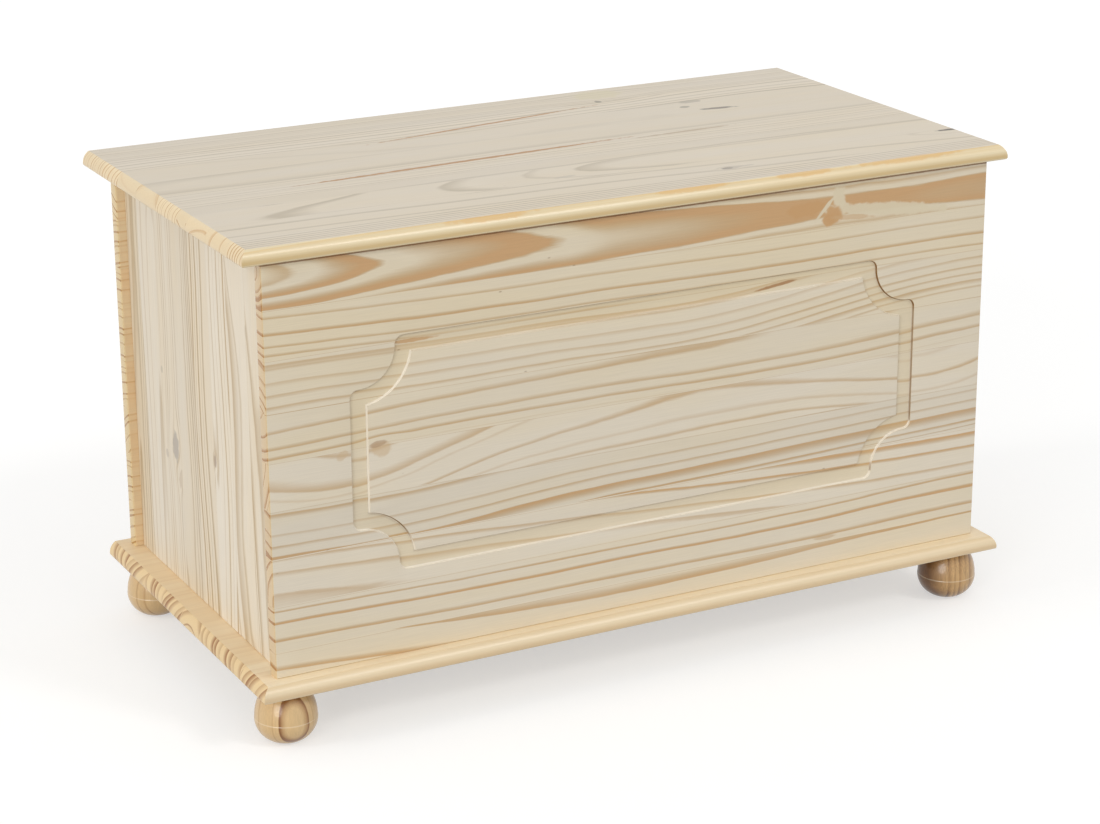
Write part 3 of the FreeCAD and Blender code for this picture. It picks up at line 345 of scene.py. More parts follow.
def pineBoard(name, board):
    b = boardHabit
    material = bpy.data.materials.new(name)
    add = blank(material)
    coords = add("TexCoord")
    inMm = add("VectorMath", {0: coords.outputs["Object"], 3: 1 / mm}, "SCALE")
    spot, normal = add("SeparateXYZ", [inMm]), add("SeparateXYZ", [coords.outputs["Normal"]])
    axes = ["xyz".index(letter) for letter in board["axes"]]
    along, keyed, through = (spot.outputs[axis] for axis in axes)
    right, up, outward = (normal.outputs[axis] for axis in axes)
    inward = board["inward"]
    depth = add("Math", [through, inward, -inward * board["face"]], "MULTIPLY_ADD")
    masks, across = marksOn(add, board, inMm, along, keyed)
    grain, look, late, glue = stavesOn(add, board, along, across, keyed, depth)
    tone = add("SeparateXYZ", [look])

    endOn, flatOn = (add("Math", [value], "ABSOLUTE") for value in (right, outward))
    endFrom = board.get("endFrom", b["endFrom"])
    end = add("MapRange", [endOn, *endFrom], interpolation_type="SMOOTHSTEP")
    edge = add("MapRange", [flatOn, *b["edgeFrom"], 0.0, board.get("milled", 1.0)])
    if "nose" in board:  # painted shade: the lower half of a moulded nose, which turns from the light, is darker and browner
        code, strength = board["nose"]
        lower = add("MapRange", [flatOn, *b["noseFrom"], 0.0, strength])
        sideways = add("Math", [1.0, end], "SUBTRACT")
        masks.append((add("Math", [lower, sideways], "MULTIPLY"), code))
    if "routed" in board:
        end, edge, lipLightAndShade = grooveTones(add, board, along, keyed, depth, right, up, flatOn, end, edge)
        masks += lipLightAndShade

    paint = {key: [hexColour(code) for code in pair] for key, pair in board["colours"].items()}
    warm = add("MapRange", [grain.outputs["Fade"], *b["noise"], *b["warmth"]])
    tinted = add("Math", [tone.outputs[1], warm], "ADD", use_clamp=True)
    early = add("MixRGB", [tinted, *paint["early"]])
    fading = add("MapRange", [grain.outputs["Fade"], *b["fading"]])
    faceLate = add("Math", [late, fading], "MULTIPLY", use_clamp=True)
    deepLate = add("MapRange", [faceLate, *b["brown"]])
    lateFace = add("MixRGB", [deepLate, *paint["late"]])
    tones = []
    for face, milled, sawn in zip((early, lateFace), paint["milled"], paint["end"]):
        edged = add("MixRGB", [edge, face, milled])
        tones.append(add("MixRGB", [end, edged, sawn]))
    lines = board["lines"]
    firmer = add("Math", [end, b["endLines"] - lines, lines], "MULTIPLY_ADD")
    amount = add("Math", [faceLate, firmer], "MULTIPLY", use_clamp=True)
    ringed = add("MixRGB", [amount, *tones])

    fibre = board["fibre"]
    streak = add("MapRange", [grain.outputs["Fibre"], *b["noise"], 1 - fibre, 1 + fibre])
    lit = add("Math", [streak, tone.outputs[2]], "MULTIPLY")
    skin = add("VectorMath", {0: ringed, 3: lit}, "SCALE")
    flecked = add("Math", [grain.outputs["Fleck"], board.get("flecks", b["flecks"])], "MULTIPLY")
    skin = add("MixRGB", [flecked, skin, hexColour(b["fleckTone"])])
    if glue is not None:
        seamed = add("Math", [glue, b["glueShade"]], "MULTIPLY")
        skin = add("MixRGB", [seamed, skin, paint["late"][0]])
    for core, code in masks:
        skin = add("MixRGB", [core, skin, hexColour(code)])

    dull = board["roughness"]
    rough = add("MapRange", [faceLate, 0.0, 1.0, dull, dull - b["lateGloss"]])
    gloss = add("Math", [edge, -b["edgeGloss"], rough], "MULTIPLY_ADD")
    ridge = add("Math", [grain.outputs["Fibre"], b["fibreRidge"], faceLate], "MULTIPLY_ADD")
    bump = add("Bump", {"Height": ridge, "Strength": b["bump"], "Distance": b["bumpHeight"]})
    shader = add("BsdfPrincipled", {
        "Base Color": skin, "Roughness": gloss, "Normal": bump, "IOR": b["ior"],
        "Coat Weight": board.get("coat", 0.0), "Coat Roughness": b["coatRoughness"]})
    add("OutputMaterial", [shader])
    return material


frontBoard = {  # cream with tan lines; brown patches where the top stave was sawn near its pith
    "axes": "xzy", "inward": 1, "face": -202.0, "width": (71.0, 474.0), "length": (-395.0, 395.0),
    "fibre": 0.035, "roughness": 0.46, "lines": 0.95, "flecks": 0.6,
    # the pale lip colour is a painted highlight; the brown one is partly router burn and partly painted shade
    "routed": {"lip": "#F6EDDB", "burn": "#86602F", "floor": 0.4, "rub": (-0.8, 0.85), "sunk": 0.03,  # shares; mm
               "steep": (0.93, 0.65), "rising": (-0.1, 0.25), "leftward": (0.1, 0.6),  # the normal at each one's ends
               "left": (-0.1, -0.5, 0.3, 1.0)},
    "colours": {"early": ("#DDD3C1", "#DFD1B5"), "late": ("#AE8238", "#C69D6E"),
                "milled": ("#D9C7A0", "#CFA970"), "end": ("#D9BE94", "#AC7A40")},
    "staves": [
        (95.5, 203, 27, -0.033, 0.08, 5.1, 5.11, 0.1, 2.57, 0.8, 2.48, 0.5, 1.03,
         ((112.6, 6.7, 0.85), (139.5, 4, 0.78))),
        (142, 245, 32, -0.018, 0.06, 0, 4.45, 1, 1.63, 3.3, 4.46, 0.4, 1.01,
         ((114.9, 2, 0.92), (126.8, 2.6, 1.37), (143.9, 3.1, 0.83))),
        (189, 125, -34, -0.043, -0.008, 3.6, 3.66, 0, 3.79, 1.8, 1.25, 0.1, 1.03,
         ((32.7, 2.8, 0.47), (45.4, 2.9, 0.51), (56.5, 2.5, 0.63), (72, 2.5, 1.03), (83.3, 4.1, 1.24))),
        (236.5, 58, 21, 0.017, -0.059, 0.8, 4.18, 0.6, 3.35, 16.5, 4.21, 0.15, 0.97,
         ((129, 1, 0.71), (134.5, 2.4, 0.9), (144.6, 6.7, 0.93), (156.3, 2.6, 0.57), (167.3, 2.4, 0.46),
          (186.3, 3.7, 0.64))),
        (285, 333, 130, 0.035, 0.026, 10.6, 3.05, 10, 4.18, 12.6, 1.07, 0.1, 1.02,
         ((120.5, 1.3, 0.59), (132, 3.5, 0.54), (137.8, 1.4, 0.23), (149.2, 1.9, 0.59), (158, 1.7, 0.32),
          (164, 1.7, 0.56))),
        (332.5, 336, 26, 0.004, 0.02, 4, 3.09, 0.4, 2.18, 0, 4.22, 0.5, 0.99,
         ((28.1, 2.4, 0.62), (41.1, 2.8, 0.61), (49.6, 2.6, 0.7), (56.8, 1, 0.16))),
        (383, 313, 13, 0.026, -0.028, 8.6, 4.56, 2.3, 2.99, 1.1, 2.33, 0.5, 1,
         ((12.9, 2, 0.49), (19.1, 3.6, 0.59), (27, 2.1, 0.56), (34.6, 2.3, 0.57), (43.6, 2.8, 0.47),
          (53.7, 3.1, 0.37), (67, 1.7, 0.4), (69.2, 5, 0.5))),
        (429, 589, -19, -0.013, -0.047, 1.1, 4.93, 1, 2.23, 1.8, 3.54, 0.85, 1,
         ((160.8, 0.9, 0.25), (172.6, 2.5, 0.55), (188.7, 2.9, 0.84), (200.2, 2.2, 0.62), (207.8, 2.4, 0.6))),
        (474, 447, 48, -0.045, 0.082, 3.2, 3.25, 2.4, 3.44, 3.7, 4.85, 0.7, 1,
         ((19.8, 2.6, 0.5), (27, 3.9, 1.3), (35.9, 5.2, 1.4), (44.2, 3.9, 1.3))),
    ],
    "turn": (-85.0, -20.0, (474, 452, -26, -0.008, -0.01, 0, 3.05, 0, 4.23, 2.2, 2.48, 0.7, 1,
                            ((29, 6.7, 1.2), (35.5, 1.9, 0.5)))),
    "marks": [
        (-281, 281, 12, 7, 0.0, 2, "#CBB08A", 0.6), (-285, 285, 9, 2.4, 0.1, 0, "#A98868", 0.6),
        (-321, 281, 6, 5, 0.3, 0, "#CBB08A", 0.5), (270, 441, 95, 7, -0.11, 0, "#DACDB1", 0.92),
        (182, 451, 26, 8, 0.05, 0, "#C69C6C", 1.0), (218, 459, 8.5, 12, 0, 0, "#DACDB1", 0.95),
        (203, 450.5, 13, 3.2, 1.0, 0, "#DACDB1", 0.95), (212.5, 442, 10, 10, 0, 0, "#C69C6C", 0.95),
        (206, 437, 8, 6, 0, 0, "#C69C6C", 0.95), (234, 437, 26, 2.8, -0.1, 0, "#C8A57A", 0.6),
        (0, 472.75, 900, 0.9, 0, 0, "#7A4A18", 0.75),  # painted shade: a dark line on the face just under the lid's edge
        (150, 378, 27, 1.8, 0.12, 0, "#A0703F", 0.8),
        (-244, 381, 24, 2.0, 0, 0, "#BE8E55", 0.7), (-350, 152, 40, 2.0, -0.1, 0, "#CBB394", 0.5),
        (92, 148, 62, 2.2, -0.06, 0, "#C8B294", 0.45), (212, 101, 14, 2.2, 0, 0, "#C0A27B", 0.5),
    ],
}
lidBoard = {  # the palest board, greyer, with faint fine lines and two orange ones
    "axes": "xyz", "inward": -1, "face": 490.0, "width": (-209.0, 221.0), "length": (-415.0, 415.0),
    # the nose colour is painted shade on the lower half of the nose
    "fibre": 0.04, "roughness": 0.46, "lines": 2.5, "nose": ("#CBAD76", 0.75),
    "colours": {"early": ("#D9CEBC", "#DACCB3"), "late": ("#B2A48C", "#BA8E5F"),
                "milled": ("#E2D2AE", "#DDBA7E"), "end": ("#E6CFA6", "#BF8C49")},
    "staves": [
        (-169, -290, 25, 0.002, 0.0, 1.5, 2.33, 0.5, 0.66, 3, 0.6, 0.4, 1.02,
         ((86, 3, 0.1), (89.8, 3.2, 0.22), (97, 1.6, 0.36), (102, 1.6, 0.46), (107.5, 1.8, 0.4), (113, 1.6, 0.46),
          (119, 1.8, 0.42))),
        (-120, -96, -8, -0.06, 0.001, 6.3, 1.74, 0.8, 1.63, 14.4, 1.71, 0.4, 1.02,
         ((15.6, 1.8, 0.14), (35.2, 4, 0.24), (57.9, 4.6, 0.3), (81.5, 3.6, 0.26))),
        (-69, -98, 34, 0.02, -0.128, 10.4, 2.01, 1.4, 2.82, 6.3, 4, 0.4, 1.02,
         ((30.1, 4.8, 0.28), (42.4, 2.4, 0.18), (58.8, 4, 0.3), (78.5, 2.4, 0.34))),
        (-46, 9, 94, 0.018, -0.007, 5.9, 1.49, 0.9, 3.91, 2.5, 4.5, 0.4, 0.98, ((122.2, 2.7, 0.25),)),
        (8, -180, 25, 0.004, 0.0, 1.7, 1.77, 0.8, 0.5, 0, 0, 0.3, 1.02, (5.6, 1.4, 0.38)),
        (66, 45, 30, 0.013, -0.014, 0.8, 0.8, 0.6, 2.31, 0.8, 1.19, 0.4, 0.99, ((41.1, 5.0, 0.2),)),
        (118, 71, -78, 0.008, -0.019, 14, 5.14, 3.3, 0.57, 1.5, 5.2, 0.3, 0.99,
         ((79.3, 2.6, 0.08), (95.5, 1.7, 0.2))),
        (166, -42, 130, 0.08, 0.085, 4.5, 4.99, 1.2, 1.55, 2.6, 1.72, 0.2, 1.03,
         ((207, 3.0, 0.4), (213, 2.2, 0.3), (220.9, 2.4, 0.28), (231.2, 2.6, 0.42), (240, 2, 0.3), (246.4, 3, 0.35))),
        (221, 20, 30, 0.004, 0.0, 2.2, 1.12, 0.8, 4.92, 0, 0, 0.3, 0.98, (5.6, 1.5, 0.34)),
    ],
    "marks": [
        (-90, -3, 195, 3.6, 0.058, 0, "#AE7A3C", 0.85), (160, 2, 62, 3.0, 0.03, 0, "#B29A78", 0.7),
        (-2, 131, 140, 2.8, 0.163, 0, "#AE7A3C", 0.8), (-166, -203.5, 50, 3.4, 0, 0, "#DDB271", 0.6),
        (50, -203, 42, 3.2, 0, 0, "#DDB271", 0.6), (176, -203.5, 36, 3.0, 0, 0, "#DDB271", 0.6),
        (300, -203, 70, 3.4, 0, 0, "#DDB271", 0.6),
        (244, 78, 22, 4.2, -0.12, 0, "#82776A", 0.9), (217, 99, 6, 4.5, 0, 0, "#958B7D", 0.75),
        (234, 119, 14, 6, 0, 0, "#A59B8C", 0.6), (402, -124, 16, 3.6, -0.1, 0, "#5F564A", 0.95),
        (118, -154, 7, 3.4, 0.0, 5, "#8B8073", 0.85), (130, -153, 22, 2.2, 0, 0, "#B3A899", 0.5),
        (162, 196, 30, 20, 0.0, 8, "#D3C8A6", 0.6),
        (147, 174, 4, 5, 0, 0, "#877E6D", 0.8), (-38, -107, 14, 4, 0.1, 0, "#BDB3A2", 0.45),
    ],
}
baseBoard = {  # warm tan ledge, almost plain; honey nose, its lower half browner with painted shade; bold arcs on its ends
    "axes": "xyz", "inward": -1, "face": 71.0, "width": (-221.0, 209.0), "length": (-415.0, 415.0),
    # the nose colour is painted shade on the lower half of the nose
    "fibre": 0.03, "roughness": 0.5, "lines": 0.6, "endFrom": (0.12, 0.5), "nose": ("#D2B48A", 0.6),
    "colours": {"early": ("#F5E4C4", "#F1D8B0"), "late": ("#DDBC8E", "#CFA46D"),
                "milled": ("#E4D1AF", "#D3AE72"), "end": ("#E8CB98", "#9C6426")},
    "staves": [
        # the front stave's low tint takes the paler early tone: painted light on the front ledge
        (-160, -310, 90, 0.004, 0.01, 3, 1.2, 1, 0.4, 2, 1.0, 0.1, 1.03, (9.5, 5.5, 0.62)),
        (-106, -20, 80, -0.003, 0.02, 4, 2.2, 1, 3.4, 4, 2.0, 0.7, 1, (10.5, 5.5, 0.55)),
        (-53, 45, 70, 0.006, -0.02, 3, 0.2, 1, 2.4, 3, 4.0, 0.7, 1, (10.0, 5.0, 0.62)),
        (0, -26, 40, 0.004, 0.01, 5, 4.2, 1, 5.4, 2, 3.0, 0.9, 1, (7.0, 4.0, 0.55)),
        (53, -85, 85, -0.005, -0.01, 3, 3.2, 1, 1.4, 5, 0.5, 0.8, 1, (9.5, 5.0, 0.62)),
        (106, 195, 75, 0.003, 0.02, 4, 5.2, 1, 2.4, 2, 5.0, 0.9, 1, (10.0, 5.0, 0.62)),
        (160, 20, 95, 0.002, -0.02, 3, 1.9, 1, 0.9, 3, 1.0, 0.8, 1, (11.0, 5.5, 0.55)),
        (209, 300, 80, -0.004, 0.01, 5, 2.9, 1, 4.4, 4, 2.0, 0.9, 1, (10.0, 5.0, 0.62)),
    ],
}
sideBoard = {  # upright grain, pale and pinkish, one grey knot
    "axes": "zyx", "face": 386.0, "width": (-187.0, 183.0), "length": (71.0, 474.0),
    "fibre": 0.06, "roughness": 0.46, "lines": 1.9, "milled": 0.5,
    "colours": {"early": ("#E4DAC9", "#E4D4B9"), "late": ("#B79D75", "#B8945F"),
                "milled": ("#E8D3A8", "#CFA56A"), "end": ("#EAD0A0", "#B5834A")},
    "staves": [
        (-136, -172, 45, 0.02, -0.045, 5.8, 4.47, 1, 2.95, 5.6, 4.23, 0.6, 1.03,
         ((38, 2.4, 0.42), (47.2, 3.6, 0.5), (50.9, 0.9, 0.5))),
        (-88.5, -132, -102, 0, 0.047, 2.7, 3.74, 3.1, 4.73, 5.4, 0.6, 0.4, 1.05,
         ((93.8, 1.1, 0.35), (97.4, 4.0, 0.45), (104, 1.4, 0.35))),
        (-41, -39, -11, -0.01, 0.006, 3.5, 3.76, 3.4, 1.45, 4.9, 3.42, 0.2, 1.05,
         ((11.2, 2.4, 0.4), (20, 1.2, 0.25), (29, 2.6, 0.5), (37, 1.2, 0.25), (45.7, 2.8, 0.8))),
        (6.5, -39, 11, 0.014, -0.01, 0.4, 1.41, 3.4, 3.42, 1.4, 0.63, 0.6, 1,
         ((13.8, 2.8, 0.6), (20, 1.2, 0.4), (27, 2.6, 0.8), (33, 1.2, 0.4), (38.6, 2.6, 0.85), (45.7, 0.9, 0.3))),
        (54, 41, 55, 0.025, -0.032, 4.4, 4.28, 0.6, 5.56, 2.4, 3.81, 0.6, 0.96,
         ((51.7, 1.1, 0.4), (54.5, 1.0, 0.35), (57.5, 1.6, 0.5), (60.5, 1.4, 0.5), (63.5, 1.6, 0.55))),
        (101.5, -20, 40, 0.004, 0.0, 1.5, 0.8, 0.8, 5.7, 0, 0, 0.45, 0.98, (6.5, 1.6, 0.42)),
        (149, 101, 1, 0.022, 0.05, 0, 4.95, 0.9, 0.7, 2.3, 0.62, 0.2, 1,
         ((12.2, 3.4, 0.35), (24, 1.2, 0.25), (34.7, 2.4, 0.25), (44.5, 1.4, 0.6))),
        (183, 180, 0, -0.025, 0.026, 3.9, 2.13, 1.1, 3.8, 2.6, 4.28, 1, 0.93,
         ((4.1, 2.7, 0.4), (12.2, 2.7, 0.35), (18, 1.4, 0.4), (23.9, 2.5, 0.56))),
    ],
    "marks": [
        (217, 68, 17, 9, 0.0, 7, "#A99F95", 0.75), (186, 60, 12, 5, 0.0, 4, "#C0AC92", 0.5),
        (202, 93, 5, 5, 0, 0, "#B7A998", 0.5), (236, -42, 7, 3.2, 0.0, 5, "#A68F7B", 0.75),
        (289, 98, 4, 3, 0, 0, "#B5A996", 0.5), (392, -137, 8, 3, 0.1, 0, "#C4B49A", 0.5),
    ],
}

# Stave rows for a board that the photograph doesn't show: each value of a row, and then the gap between its rings, is
# drawn between a least and a most
sawnSpans = ((-170, 110), (20, 70), (-0.01, 0.01), (-0.03, 0.03), (1, 6), (0, 6), (0, 2), (0, 6), (0, 6), (0, 6),
             (0.1, 0.9), (0.96, 1.04), (6, 11))


def sawnStaves(low, high, width, seed, strength):
    pick = np.random.default_rng(seed)
    staves = []
    for upper in np.linspace(low, high, max(2, round((high - low) / width) + 1))[1:].tolist():
        drawn = [pick.uniform(*span) for span in sawnSpans]
        staves.append((upper, upper + drawn[0], *drawn[1:-1], (drawn[-1], 2.0, strength)))
    return staves


plainBoard = {key: value for key, value in frontBoard.items() if key not in ("routed", "turn", "marks")}
backBoard = {**plainBoard, "face": 198.0, "inward": -1, "staves": sawnStaves(71.0, 474.0, 48.0, 11, 0.8), "colours": {
    "early": ("#E6D1AC", "#E4C498"), "late": ("#D5AC78", "#C6955D"),
    "milled": ("#E4D0A6", "#CDA468"), "end": ("#DFC592", "#AF8044")}}
battenBoard = {**plainBoard, "axes": "yxz", "face": 475.0, "inward": 1, "length": (-180.0, 180.0)}
battenPlace, battenHalf = 250.0, 40.0  # mm from the middle of the lid, and more than half a batten's width

woods = {
    "front": pineBoard("pine_panel_planed_lacquered", frontBoard),
    "lid": pineBoard("pine_lid_planed_lacquered", lidBoard),
    "base": pineBoard("pine_base_moulded_lacquered", baseBoard),
    "back": pineBoard("pine_back_planed_lacquered", backBoard),
}
for hand, sign in (("left", -1), ("right", 1)):
    face = sign * sideBoard["face"]
    woods[hand] = pineBoard(f"pine_{hand}_side_planed_lacquered", {**sideBoard, "face": face, "inward": -sign})
    span = (sign * battenPlace - battenHalf, sign * battenPlace + battenHalf)
    woods[hand + "Batten"] = pineBoard(f"pine_{hand}_batten_planed", {
        **battenBoard, "width": span, "staves": sawnStaves(*span, 2 * battenHalf, 5, 0.6)})


def turnedColours(early, warm, late, brown):  # a turned foot has no milled edge, and its ends look like its sides
    return {"early": (early, warm), "late": (late, brown), "milled": (early, brown), "end": (warm, brown)}


def boxMm(node):  # a node's low and high corners in millimetres
    return [np.array(corner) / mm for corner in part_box(node)]


# Turned feet: upright grain under a glossier lacquer. The eye sees honey wood with loops of brown where the ball
# leaves a ring, a darker streaky right one with painted shade on its left side, a painted highlight along the scored
# line, and small soft highlights.
footShape = {"flat": 13.0, "lower": 30.5, "score": 24.0, "scoreHalf": 0.5, "upper": 30.2,  # mm
             "top": 17.5, "height": 56.0, "arcSteps": 22, "scoreSteps": 9, "around": 96}
footColours = turnedColours("#D9BA8A", "#D4B17C", "#A26E36", "#865520")
darkColours = turnedColours("#CBA775", "#C19A66", "#855A2C", "#664014")
footLooks = {  # pith from the foot's axis across and behind its front (mm), rings, fibre, colours
    "foot_front_left": (-6.3, -14.0, ((20.8, 4.6, 1.1), (29.0, 1.6, 0.25)), 0.06, footColours),
    # its last ring, wide and strong, is painted shade that darkens the right foot's left side
    "foot_front_right": (355.0, -154.0, ((372, 2.6, 0.4), (378.5, 3.4, 0.6), (384, 2.4, 0.3), (390, 4, 0.55),
                                         (396, 2.4, 0.35), (402, 3.6, 0.6), (424, 26, 1.4)), 0.2, darkColours),
    "foot_back_left": (-30.0, 90.0, (9.0, 2.2, 0.8), 0.06, footColours),
    "foot_back_right": (40.0, 100.0, (8.0, 2.2, 0.9), 0.06, footColours),
}
for node, (pithAcross, pithDepth, years, fibre, colours) in footLooks.items():
    (left, front, _), (right, _, _) = (corner.tolist() for corner in boxMm(node))
    middle = (left + right) / 2
    woods[node] = pineBoard("pine_" + node + "_turned_lacquered", {
        "axes": "zxy", "inward": 1, "face": front, "width": (left, right), "length": (0.0, footShape["height"]),
        "fibre": fibre, "roughness": 0.36, "coat": 0.45, "milled": 0.0, "lines": 1.0, "colours": colours,
        "marks": [(footShape["score"], middle, 0.6, 80.0, 0, 0, "#F0E2C8", 0.28)],  # a painted highlight along the scored line
        "staves": [(right, middle + pithAcross, pithDepth, 0.02, 0.03, 0.6, 1.0, 0.5, 2.0, 0.8, 1.0, 0.5, 1.0, years)]})


# Fittings: a pale and a dark tone mixed by a fine noise, which also clouds the roughness. Each is: name, two tones,
# metal or not, least and most roughness, and the noise's size (mm).
fittings = {
    "zinc_plated_steel": ("steel_bright_zinc_plated", "#D2D4D6", "#B8BBBF", 1.0, 0.24, 0.4, 4.0),  # cool, clouded
    "cast_zinc": ("zinc_die_cast", "#BCBDBE", "#9C9EA0", 1.0, 0.45, 0.6, 1.2),  # dull grey skin, finely pitted
    "white_nylon": ("nylon_moulded_white", "#ECEAE4", "#E0DDD4", 0.0, 0.4, 0.5, 2.5),  # waxy off-white
    "soft_buffer": ("elastomer_moulded_pad", "#DCD9CF", "#CDC9BD", 0.0, 0.45, 0.55, 2.0),  # soft, slightly cloudy
    "beech_dowel": ("beech_turned_bare", "#DBBE94", "#C6A273", 0.0, 0.6, 0.7, 1.5),  # tan with short darker flecks
}


def fitting(name, pale, dark, metal, smooth, coarse, grain):
    material = bpy.data.materials.new(name)
    add = blank(material)
    coords = add("TexCoord")
    noiseAt = add("VectorMath", {0: coords.outputs["Object"], 3: 1 / (mm * grain)}, "SCALE")
    noise = add("TexNoise", {"Vector": noiseAt, "Scale": 1.0, "Detail": 3.0, "Roughness": 0.6})
    cloud = add("MapRange", [noise, *boardHabit["noise"]])
    colour = add("MixRGB", [cloud, hexColour(pale), hexColour(dark)])
    rough = add("MapRange", [noise, *boardHabit["noise"], smooth, coarse])
    bump = add("Bump", {"Height": noise, "Strength": 0.15, "Distance": 0.1 * mm})
    shader = add("BsdfPrincipled", {"Base Color": colour, "Metallic": metal, "Roughness": rough, "Normal": bump})
    add("OutputMaterial", [shader])
    return material


finishes = {slotName: fitting(*look) for slotName, look in fittings.items()}
print("materials ready:", len(woods), "woods,", len(finishes), "fittings")


# quads of a grid of points numbered row by row; a wrapped grid also joins its last column to its first
def gridQuads(rows, columns, wrap=False):
    row = np.arange(rows - 1)[:, None] * columns
    column = np.arange(columns if wrap else columns - 1)[None, :]
    after = (column + 1) % columns
    return np.stack([row + column, row + after, row + columns + after, row + columns + column], -1).reshape(-1, 4)


sharpFrom = math.radians(32.0)  # an edge that turns farther than this isn't smoothed


def makePiece(name, sheets, node, body, material):  # sheets of points welded to one closed skin
    points = [sheet.reshape(-1, 3) for sheet, quads in sheets]
    starts = np.cumsum([0] + [len(part) for part in points])
    faces = [face for (sheet, quads), start in zip(sheets, starts) for face in (quads + start).tolist()]
    mesh = bpy.data.meshes.new(name)
    mesh.from_pydata((np.concatenate(points) * mm).tolist(), [], faces)
    shell = bmesh.new()
    shell.from_mesh(mesh)
    bmesh.ops.remove_doubles(shell, verts=shell.verts, dist=1e-6)
    bmesh.ops.dissolve_degenerate(shell, edges=shell.edges, dist=1e-7)
    bmesh.ops.recalc_face_normals(shell, faces=shell.faces)
    shell.to_mesh(mesh)
    shell.free()
    mesh.polygons.foreach_set("use_smooth", np.ones(len(mesh.polygons), bool))
    mesh.set_sharp_from_angle(angle=sharpFrom)
    mesh.materials.append(material)
    piece = bpy.data.objects.new(name, mesh)
    scene.collection.objects.link(piece)
    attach(piece, body)
    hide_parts(node)


# Nosed board: the moulding's section (in from the edge, up from the underside) is carried along the left end, the
# front and the right end, mitred at both corners; flat sheets close the top, the underside and the square back.
noseShape = {"foot": 2.5, "centre": 3.0, "radius": 14.0, "footSteps": 6, "noseSteps": 22, "long": 48, "short": 26}


def nosedBoard(name, node, body, material, underLift):
    n = noseShape
    (left, front, bottom), (right, back, top) = boxMm(node)
    bottom = bottom + underLift
    thick = top - bottom
    foot = np.radians(np.linspace(270, 180, n["footSteps"]))
    rise = math.asin((thick - n["centre"]) / n["radius"])
    nose = np.linspace(math.pi, math.pi - rise, n["noseSteps"])
    inset = np.concatenate([n["foot"] * (1 + np.cos(foot)), n["radius"] * (1 + np.cos(nose))])
    height = np.concatenate([n["foot"] * (1 + np.sin(foot)), n["centre"] + n["radius"] * np.sin(nose)])
    endStep = np.linspace(0, 1, n["short"])[:, None]
    longStep = np.linspace(0, 1, n["long"])[:, None]
    still = np.ones_like(endStep)
    x = np.concatenate([(left + inset) * still, left + inset + (right - left - 2 * inset) * longStep,
                        (right - inset) * still])
    y = np.concatenate([back + (front + inset - back) * endStep, (front + inset) * np.ones_like(longStep),
                        front + inset + (back - front - inset) * endStep])
    z = bottom + height + 0 * x
    moulding = np.stack([x, y, z], -1)
    sheets = [(moulding, gridQuads(*x.shape))]
    for edge, level in ((inset[-1], top), (inset[0], bottom)):
        gx, gy = np.meshgrid(np.linspace(left + edge, right - edge, n["long"]),
                             np.linspace(back, front + edge, n["short"]))
        sheets.append((np.stack([gx, gy, level + 0 * gx], -1), gridQuads(*gx.shape)))
    upper, lower = sheets[1][0][0], sheets[2][0][0]
    rim = np.concatenate([moulding[0], upper[1:], moulding[-1][::-1][1:], lower[::-1][1:-1]])
    sheets.append((rim, np.arange(len(rim))[None, :]))
    makePiece(name, sheets, node, body, material)


nosedBoard("lidBoard", "lid_board", "lid", woods["lid"], 0.0)
nosedBoard("baseBoard", "base_board", "carcass", woods["base"], 0.05)
print("nosed boards ready")

# Panel: rings of matched stations run from the middle of the back, over the eased edges, across the face, down and up
# the routed groove, to the middle of the face. A groove ring is the cutter's path moved outwards by an offset: outside,
# each turn is rounded; inside, it is sharp.
panelShape = {"arris": 1.2, "arrisSteps": 6, "faceRings": 4}


def mirrored(quarter):  # a whole ring from the quarter between the top middle and the right middle
    x, z = quarter
    ringX = np.concatenate([x, x[::-1][1:], -x[1:], -x[::-1][1:-1]])
    ringZ = np.concatenate([z, -z[::-1][1:], -z[1:], z[::-1][1:-1]])
    return np.stack([ringX, ringZ])


def grooveRing(offset):
    g = grooveShape
    w, h, r = g["halfWidth"], g["halfHeight"], g["scoop"] - offset
    if offset >= 0:
        turn = np.linspace(math.pi / 2, 0, g["turnSteps"])
        firstX, firstZ = w - g["scoop"] + offset * np.cos(turn), h + offset * np.sin(turn)
        lastX, lastZ = w + offset * np.cos(turn), h - g["scoop"] + offset * np.sin(turn)
        sweep = np.linspace(math.pi, 1.5 * math.pi, g["scoopSteps"])
    else:
        lap = math.asin(-offset / r)
        sweep = np.linspace(math.pi + lap, 1.5 * math.pi - lap, g["scoopSteps"])
        still = np.zeros(g["turnSteps"])
        firstX, firstZ = still + w + r * np.cos(sweep[0]), still + h + offset
        lastX, lastZ = still + w + offset, still + h + r * np.sin(sweep[-1])
    level = np.linspace(0, firstX[0], g["levelSteps"])[:-1]
    upright = np.linspace(lastZ[-1], 0, g["uprightSteps"])[1:]
    x = np.concatenate([level, firstX, w + r * np.cos(sweep[1:-1]), lastX, np.full(len(upright), w + offset)])
    z = np.concatenate([np.full(len(level), h + offset), firstZ, h + r * np.sin(sweep[1:-1]), lastZ, upright])
    return mirrored((x, z))


def plainRing(halfWidth, halfHeight):  # a rectangle with the same stations as a groove ring
    g = grooveShape
    bendAt = g["levelSteps"] - 1 + g["turnSteps"] + (g["scoopSteps"] - 2) // 2
    total = g["levelSteps"] + 2 * g["turnSteps"] + g["scoopSteps"] + g["uprightSteps"] - 4
    split, rise = g["halfWidth"] - g["scoop"], g["halfHeight"] - g["scoop"]
    x = np.concatenate([np.linspace(0, split, g["levelSteps"])[:-1],
                        np.linspace(split, halfWidth, bendAt - g["levelSteps"] + 2),
                        np.full(total - bendAt - 1, halfWidth)])
    z = np.concatenate([np.full(bendAt + 1, halfHeight),
                        np.linspace(halfHeight, rise, total - g["uprightSteps"] - bendAt + 1)[1:],
                        np.linspace(rise, 0, g["uprightSteps"])[1:]])
    return mirrored((x, z))


